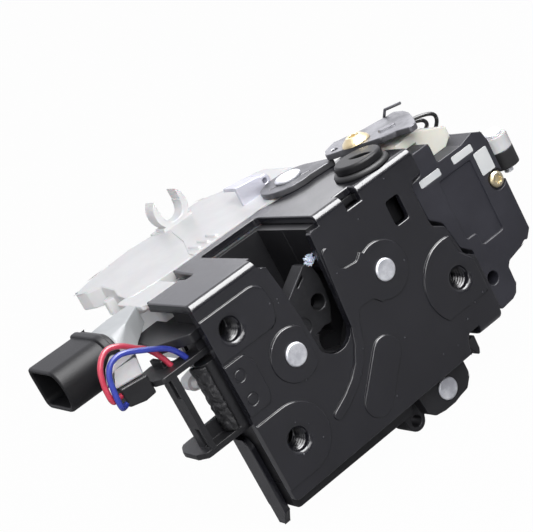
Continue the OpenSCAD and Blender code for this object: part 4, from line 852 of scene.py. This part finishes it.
@dataclass
class Studio:
    """Camera, lights, floor and world.

    The world shines with three tones: dim below, bright above, and mirrored above for shiny
    surfaces. Its height is measured along sky_axis, between sky_low and sky_high.
    """

    camera_mm: Point = (-226.07, -387.69, 149.65)
    camera_turn: Point = (71.542, 26.899, -35.016)
    lens_mm: float = 108.07
    sensor_mm: float = 36.0
    clip_start_m: float = 0.01
    floor_m: float = 6.0
    floor_drop_mm: float = 0.4
    floor_colour: Colour = (0.4, 0.4, 0.41)
    floor_glow: float = 0.98
    dim: Colour = (0.16, 0.16, 0.17)
    bright: Colour = (0.5, 0.5, 0.52)
    mirrored: Colour = (1.2, 1.2, 1.28)
    sky_axis: Point = (0.36, 0.62, 0.7)
    sky_low: float = -0.35
    sky_high: float = 0.8

    def build(self) -> None:
        """Sets up the whole studio."""
        self.add_camera()
        self.add_floor()
        self.add_world()
        for lamp in LAMPS:
            lamp.build()
        bpy.context.scene.view_settings.view_transform = "Standard"

    def add_camera(self) -> None:
        """Places the camera where the photograph was taken from."""
        data = bpy.data.cameras.new("camera")
        data.lens = self.lens_mm
        data.sensor_width = self.sensor_mm
        data.clip_start = self.clip_start_m
        camera = bpy.data.objects.new("camera", data)
        camera.location = place(*self.camera_mm)
        camera.rotation_euler = Euler([math.radians(a) for a in self.camera_turn])
        bpy.context.scene.collection.objects.link(camera)
        bpy.context.scene.camera = camera

    def add_floor(self) -> None:
        """Adds the pale floor just under the part. The camera sees it almost white."""
        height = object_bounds()[0][2] - self.floor_drop_mm * MM
        bpy.ops.mesh.primitive_plane_add(size=self.floor_m, location=(0, 0, height))
        floor = bpy.context.object
        floor.name = "floor"
        m = Maker("floor_pale")
        white = m.node("ShaderNodeEmission", inputs={"Color": WHITE, "Strength": 1.0})
        diffuse = m.node("ShaderNodeBsdfDiffuse", inputs={"Color": self.floor_colour})
        direct = m.node("ShaderNodeLightPath", out="Is Camera Ray")
        joined = m.node("ShaderNodeMixShader", inputs={
            0: direct * self.floor_glow, 1: diffuse, 2: white})
        m.tree.links.new(joined.socket, m.output.inputs[0])
        floor.data.materials.append(m.material)
        floor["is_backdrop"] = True

    def add_world(self) -> None:
        """Gives the world its soft light, and plain white where the camera sees it."""
        world = bpy.data.worlds.new("studio")
        world.use_nodes = True
        tree = world.node_tree
        tree.nodes.clear()

        def add(kind: str, settings: dict, links: dict) -> object:
            """Adds a node with its settings, numbers and links."""
            made = tree.nodes.new(kind)
            for key, value in settings.items():
                setattr(made, key, value)
            for key, value in links.items():
                if hasattr(value, "is_output"):
                    tree.links.new(value, made.inputs[key])
                else:
                    made.inputs[key].default_value = value
            return made

        path = add("ShaderNodeLightPath", {}, {})
        seen = add("ShaderNodeMath", {"operation": "MAXIMUM"}, {
            0: path.outputs["Is Camera Ray"], 1: path.outputs["Is Transmission Ray"]})
        where = add("ShaderNodeTexCoord", {}, {})
        facing = add("ShaderNodeVectorMath", {"operation": "DOT_PRODUCT"}, {
            0: where.outputs["Generated"], 1: self.sky_axis})
        height = add("ShaderNodeMapRange", {"interpolation_type": "SMOOTHSTEP"}, {
            "Value": facing.outputs["Value"], "From Min": self.sky_low,
            "From Max": self.sky_high})
        colour = {"data_type": "RGBA"}
        above = add("ShaderNodeMix", colour, {
            MIX_FACTOR: path.outputs["Is Glossy Ray"], MIX_LOW: (*self.bright, 1.0),
            MIX_HIGH: (*self.mirrored, 1.0)})
        sky = add("ShaderNodeMix", colour, {
            MIX_FACTOR: height.outputs[0], MIX_LOW: (*self.dim, 1.0),
            MIX_HIGH: above.outputs[MIX_RESULT]})
        mixed = add("ShaderNodeMix", colour, {
            MIX_FACTOR: seen.outputs[0], MIX_LOW: sky.outputs[MIX_RESULT],
            MIX_HIGH: (*WHITE, 1.0)})
        back = add("ShaderNodeBackground", {}, {0: mixed.outputs[MIX_RESULT]})
        add("ShaderNodeOutputWorld", {}, {0: back.outputs[0]})
        bpy.context.scene.world = world


@dataclass(frozen=True)
class Wire:
    """One free wire: its route from the pawl pivot in mm, as the solid's own, and its size."""

    node: str
    finish: Finish
    diameter_mm: float
    route: tuple[Point, ...]
    sides: int = 14
    steps: int = 6
    smooth_degrees: float = 50.0

    def curve(self) -> list[Vector]:
        """The smooth centre line through the route's points, in metres (Catmull-Rom)."""
        p = [place(*q) for q in self.route]
        line = []
        for i in range(len(p) - 1):
            a, b, c, d = p[max(i - 1, 0)], p[i], p[i + 1], p[min(i + 2, len(p) - 1)]
            for k in range(self.steps):
                t = k / self.steps
                line.append(0.5 * (2 * b + (c - a) * t + (2 * a - 5 * b + 4 * c - d) * t * t
                                   + (3 * b - a - 3 * c + d) * t ** 3))
        return line + [p[-1]]

    def build(self, shop: Shop) -> None:
        line = self.curve()
        form = bmesh.new()
        side = Vector((0, 0, 1)).cross(line[1] - line[0]).normalized()
        rings = []
        for i, here in enumerate(line):
            along = (line[min(i + 1, len(line) - 1)] - line[max(i - 1, 0)]).normalized()
            side = (side - along * side.dot(along)).normalized()
            up = along.cross(side)
            turn = [2 * math.pi * k / self.sides for k in range(self.sides)]
            rings.append([form.verts.new(here + (side * math.cos(a) + up * math.sin(a))
                                         * self.diameter_mm * MM / 2) for a in turn])
        for first, second in zip(rings, rings[1:]):
            for k in range(self.sides):
                m = (k + 1) % self.sides
                form.faces.new((first[k], first[m], second[m], second[k]))
        form.faces.new(list(reversed(rings[0])))
        form.faces.new(rings[-1])
        bmesh.ops.recalc_face_normals(form, faces=form.faces)
        piece = new_piece(self.node + "_lead", form)
        bpy.ops.object.shade_smooth_by_angle(angle=math.radians(self.smooth_degrees))
        shop.stand(piece, self.node, self.finish)
        length = sum((b - a).length for a, b in zip(line, line[1:]))
        LOG.info("%s is %.1f mm long", piece.name, length / MM)


WIRES = (
    Wire("red_wire", Finish.RED_WIRE, 1.7, (
        (-69.5, 9.6, 12), (-70.5, 9.6, 15), (-73.5, 8.6, 20), (-77, 7.6, 23), (-80.5, 7, 26),
        (-84, 7, 27.4), (-87, 6.6, 26.6), (-89.4, 6.2, 24), (-90.6, 6, 20.5), (-91, 6, 17),
        (-90.6, 6.6, 14.6), (-89, 8, 13.7), (-86.6, 9.4, 13.6))),
    Wire("blue_wire", Finish.BLUE_WIRE, 1.7, (
        (-65.4, 7, 12), (-66.4, 6.8, 14), (-69, 6, 17.4), (-73, 5, 20.2), (-77, 4.6, 22.4),
        (-80.5, 4.4, 24.2), (-83.6, 4.4, 25), (-86.6, 4.6, 24.2), (-88.6, 4.6, 21.6),
        (-89.4, 4.6, 18.4), (-89.8, 4.8, 15), (-89.6, 5.6, 12.4), (-88.6, 7.4, 11),
        (-86.6, 9, 10.8))),
    Wire("black_wire_a", Finish.BLACK_WIRE, 1.3, (
        (40, 22, 23), (40.6, 24, 24), (43, 25, 25), (47, 23.6, 25.4), (51, 21.4, 25),
        (54, 20.6, 23.6), (54.8, 21.4, 21), (53.6, 23.4, 18), (51, 26, 16), (49, 27, 14.6))),
    Wire("black_wire_b", Finish.BLACK_WIRE, 1.3, (
        (37, 22, 23), (37.4, 24.6, 23.6), (40, 26.6, 24), (44, 26, 24.4), (48, 24.4, 24.2),
        (51.4, 23.4, 23), (52.6, 24.4, 20.6), (50.6, 27, 18), (48, 29, 16.4), (46, 30, 14.6))))


# Finish of each node, and its rounding in mm (0 keeps the node as it is)
LOOKS: dict[str, tuple[Finish, float]] = {
    "latch_plate": (Finish.DIP_PAINT, 0.5), "back_plate": (Finish.DIP_PAINT, 0.3),
    "latch_housing": (Finish.BLACK_NYLON, 0.25), "switch_cover": (Finish.COVER_NYLON, 0.3),
    "switch_carrier": (Finish.BLACK_NYLON, 0.25), "wire_bracket": (Finish.BLACK_NYLON, 0.3),
    # The connector shell and the lock knob take the darker nylon, whose colour is painted shade
    "connector_shell": (Finish.DEEP_NYLON, 0.9), "black_socket": (Finish.BLACK_NYLON, 0.6),
    "lock_knob": (Finish.DEEP_NYLON, 0.3), "actuator_base": (Finish.BLACK_NYLON, 0.4),
    "micro_switch": (Finish.BLACK_NYLON, 0.0), "claw": (Finish.DARK_STEEL, 0.35),
    "pawl": (Finish.DARK_STEEL, 0.3), "claw_spring": (Finish.DARK_STEEL, 0.0),
    "pawl_spring": (Finish.DARK_STEEL, 0.0), "lever_spring": (Finish.LEVER_STEEL, 0.0),
    "release_lever": (Finish.LEVER_STEEL, 0.3), "deck_plate": (Finish.DECK_STEEL, 0.3),
    "hook_clip": (Finish.CLIP_STEEL, 0.3), "claw_rivet": (Finish.STAKED_ZINC, 0.2),
    "pawl_rivet": (Finish.STAKED_ZINC, 0.2), "ear_rivet": (Finish.STAKED_ZINC, 0.2),
    "deck_rivet": (Finish.STAKED_ZINC, 0.2), "side_screw": (Finish.BRIGHT_ZINC, 0.15),
    "base_screws": (Finish.BRIGHT_ZINC, 0.0), "gear_axle": (Finish.BRIGHT_ZINC, 0.0),
    "sector_axle": (Finish.BRIGHT_ZINC, 0.0), "motor": (Finish.BRIGHT_ZINC, 0.3),
    "lever_screw": (Finish.YELLOW_ZINC, 0.2), "cover_screw": (Finish.YELLOW_ZINC, 0.15),
    "connector_pins": (Finish.YELLOW_ZINC, 0.0), "worm": (Finish.WORM_BRASS, 0.0),
    "knob_seal": (Finish.RUBBER, 0.3), "bump_stop": (Finish.RUBBER, 0.3),
    "side_bush": (Finish.RUBBER, 0.3),
    "actuator_housing": (Finish.ACETAL, 0.8), "side_housing": (Finish.ACETAL, 0.8),
    "cover_pads": (Finish.PAD_GREY, 0.15), "white_plug": (Finish.ACETAL, 0.9),
    "worm_wheel": (Finish.ACETAL, 0.0), "lock_sector": (Finish.ACETAL, 0.0),
    "end_cap": (Finish.IVORY, 0.5), "connector_neck": (Finish.GREY_RUBBER, 1.2),
    "switch_button": (Finish.RED_WIRE, 0.0)}


THREADS = (
    Thread("thread_lower", (-50.4, 0.9, -25.5)), Thread("thread_upper", (-52.6, 0.9, 13.6)),
    Thread("thread_right", (22.4, 0.9, -17.1)))
GREASE = Lump("claw_grease", (-17.35, 5.6, 14.2), (1.7, 1.1, 1.5), rough_mm=0.55,
              like="latch_housing", finish=Finish.GREASE)
FOAM_CELL_MM, FOAM_CREASE_MM = 0.3, 0.5


def main() -> None:
    """Builds the studio, dresses every node and reports each piece."""
    logging.basicConfig(level=logging.INFO, format="%(name)s: %(message)s")
    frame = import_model()
    shop = Shop(frame)
    Studio().build()
    for wire in WIRES:
        wire.build(shop)
    for node, (finish, radius) in LOOKS.items():
        if radius > 0:
            shop.soften(node, finish, radius)
        else:
            shop.dress(node, finish)
    crumple(shop, "seal_strip", Finish.FOAM, FOAM_CELL_MM, FOAM_CREASE_MM)
    for thread in THREADS:
        thread.build(shop)
    GREASE.build(shop)


if __name__ == "__main__":
    main()
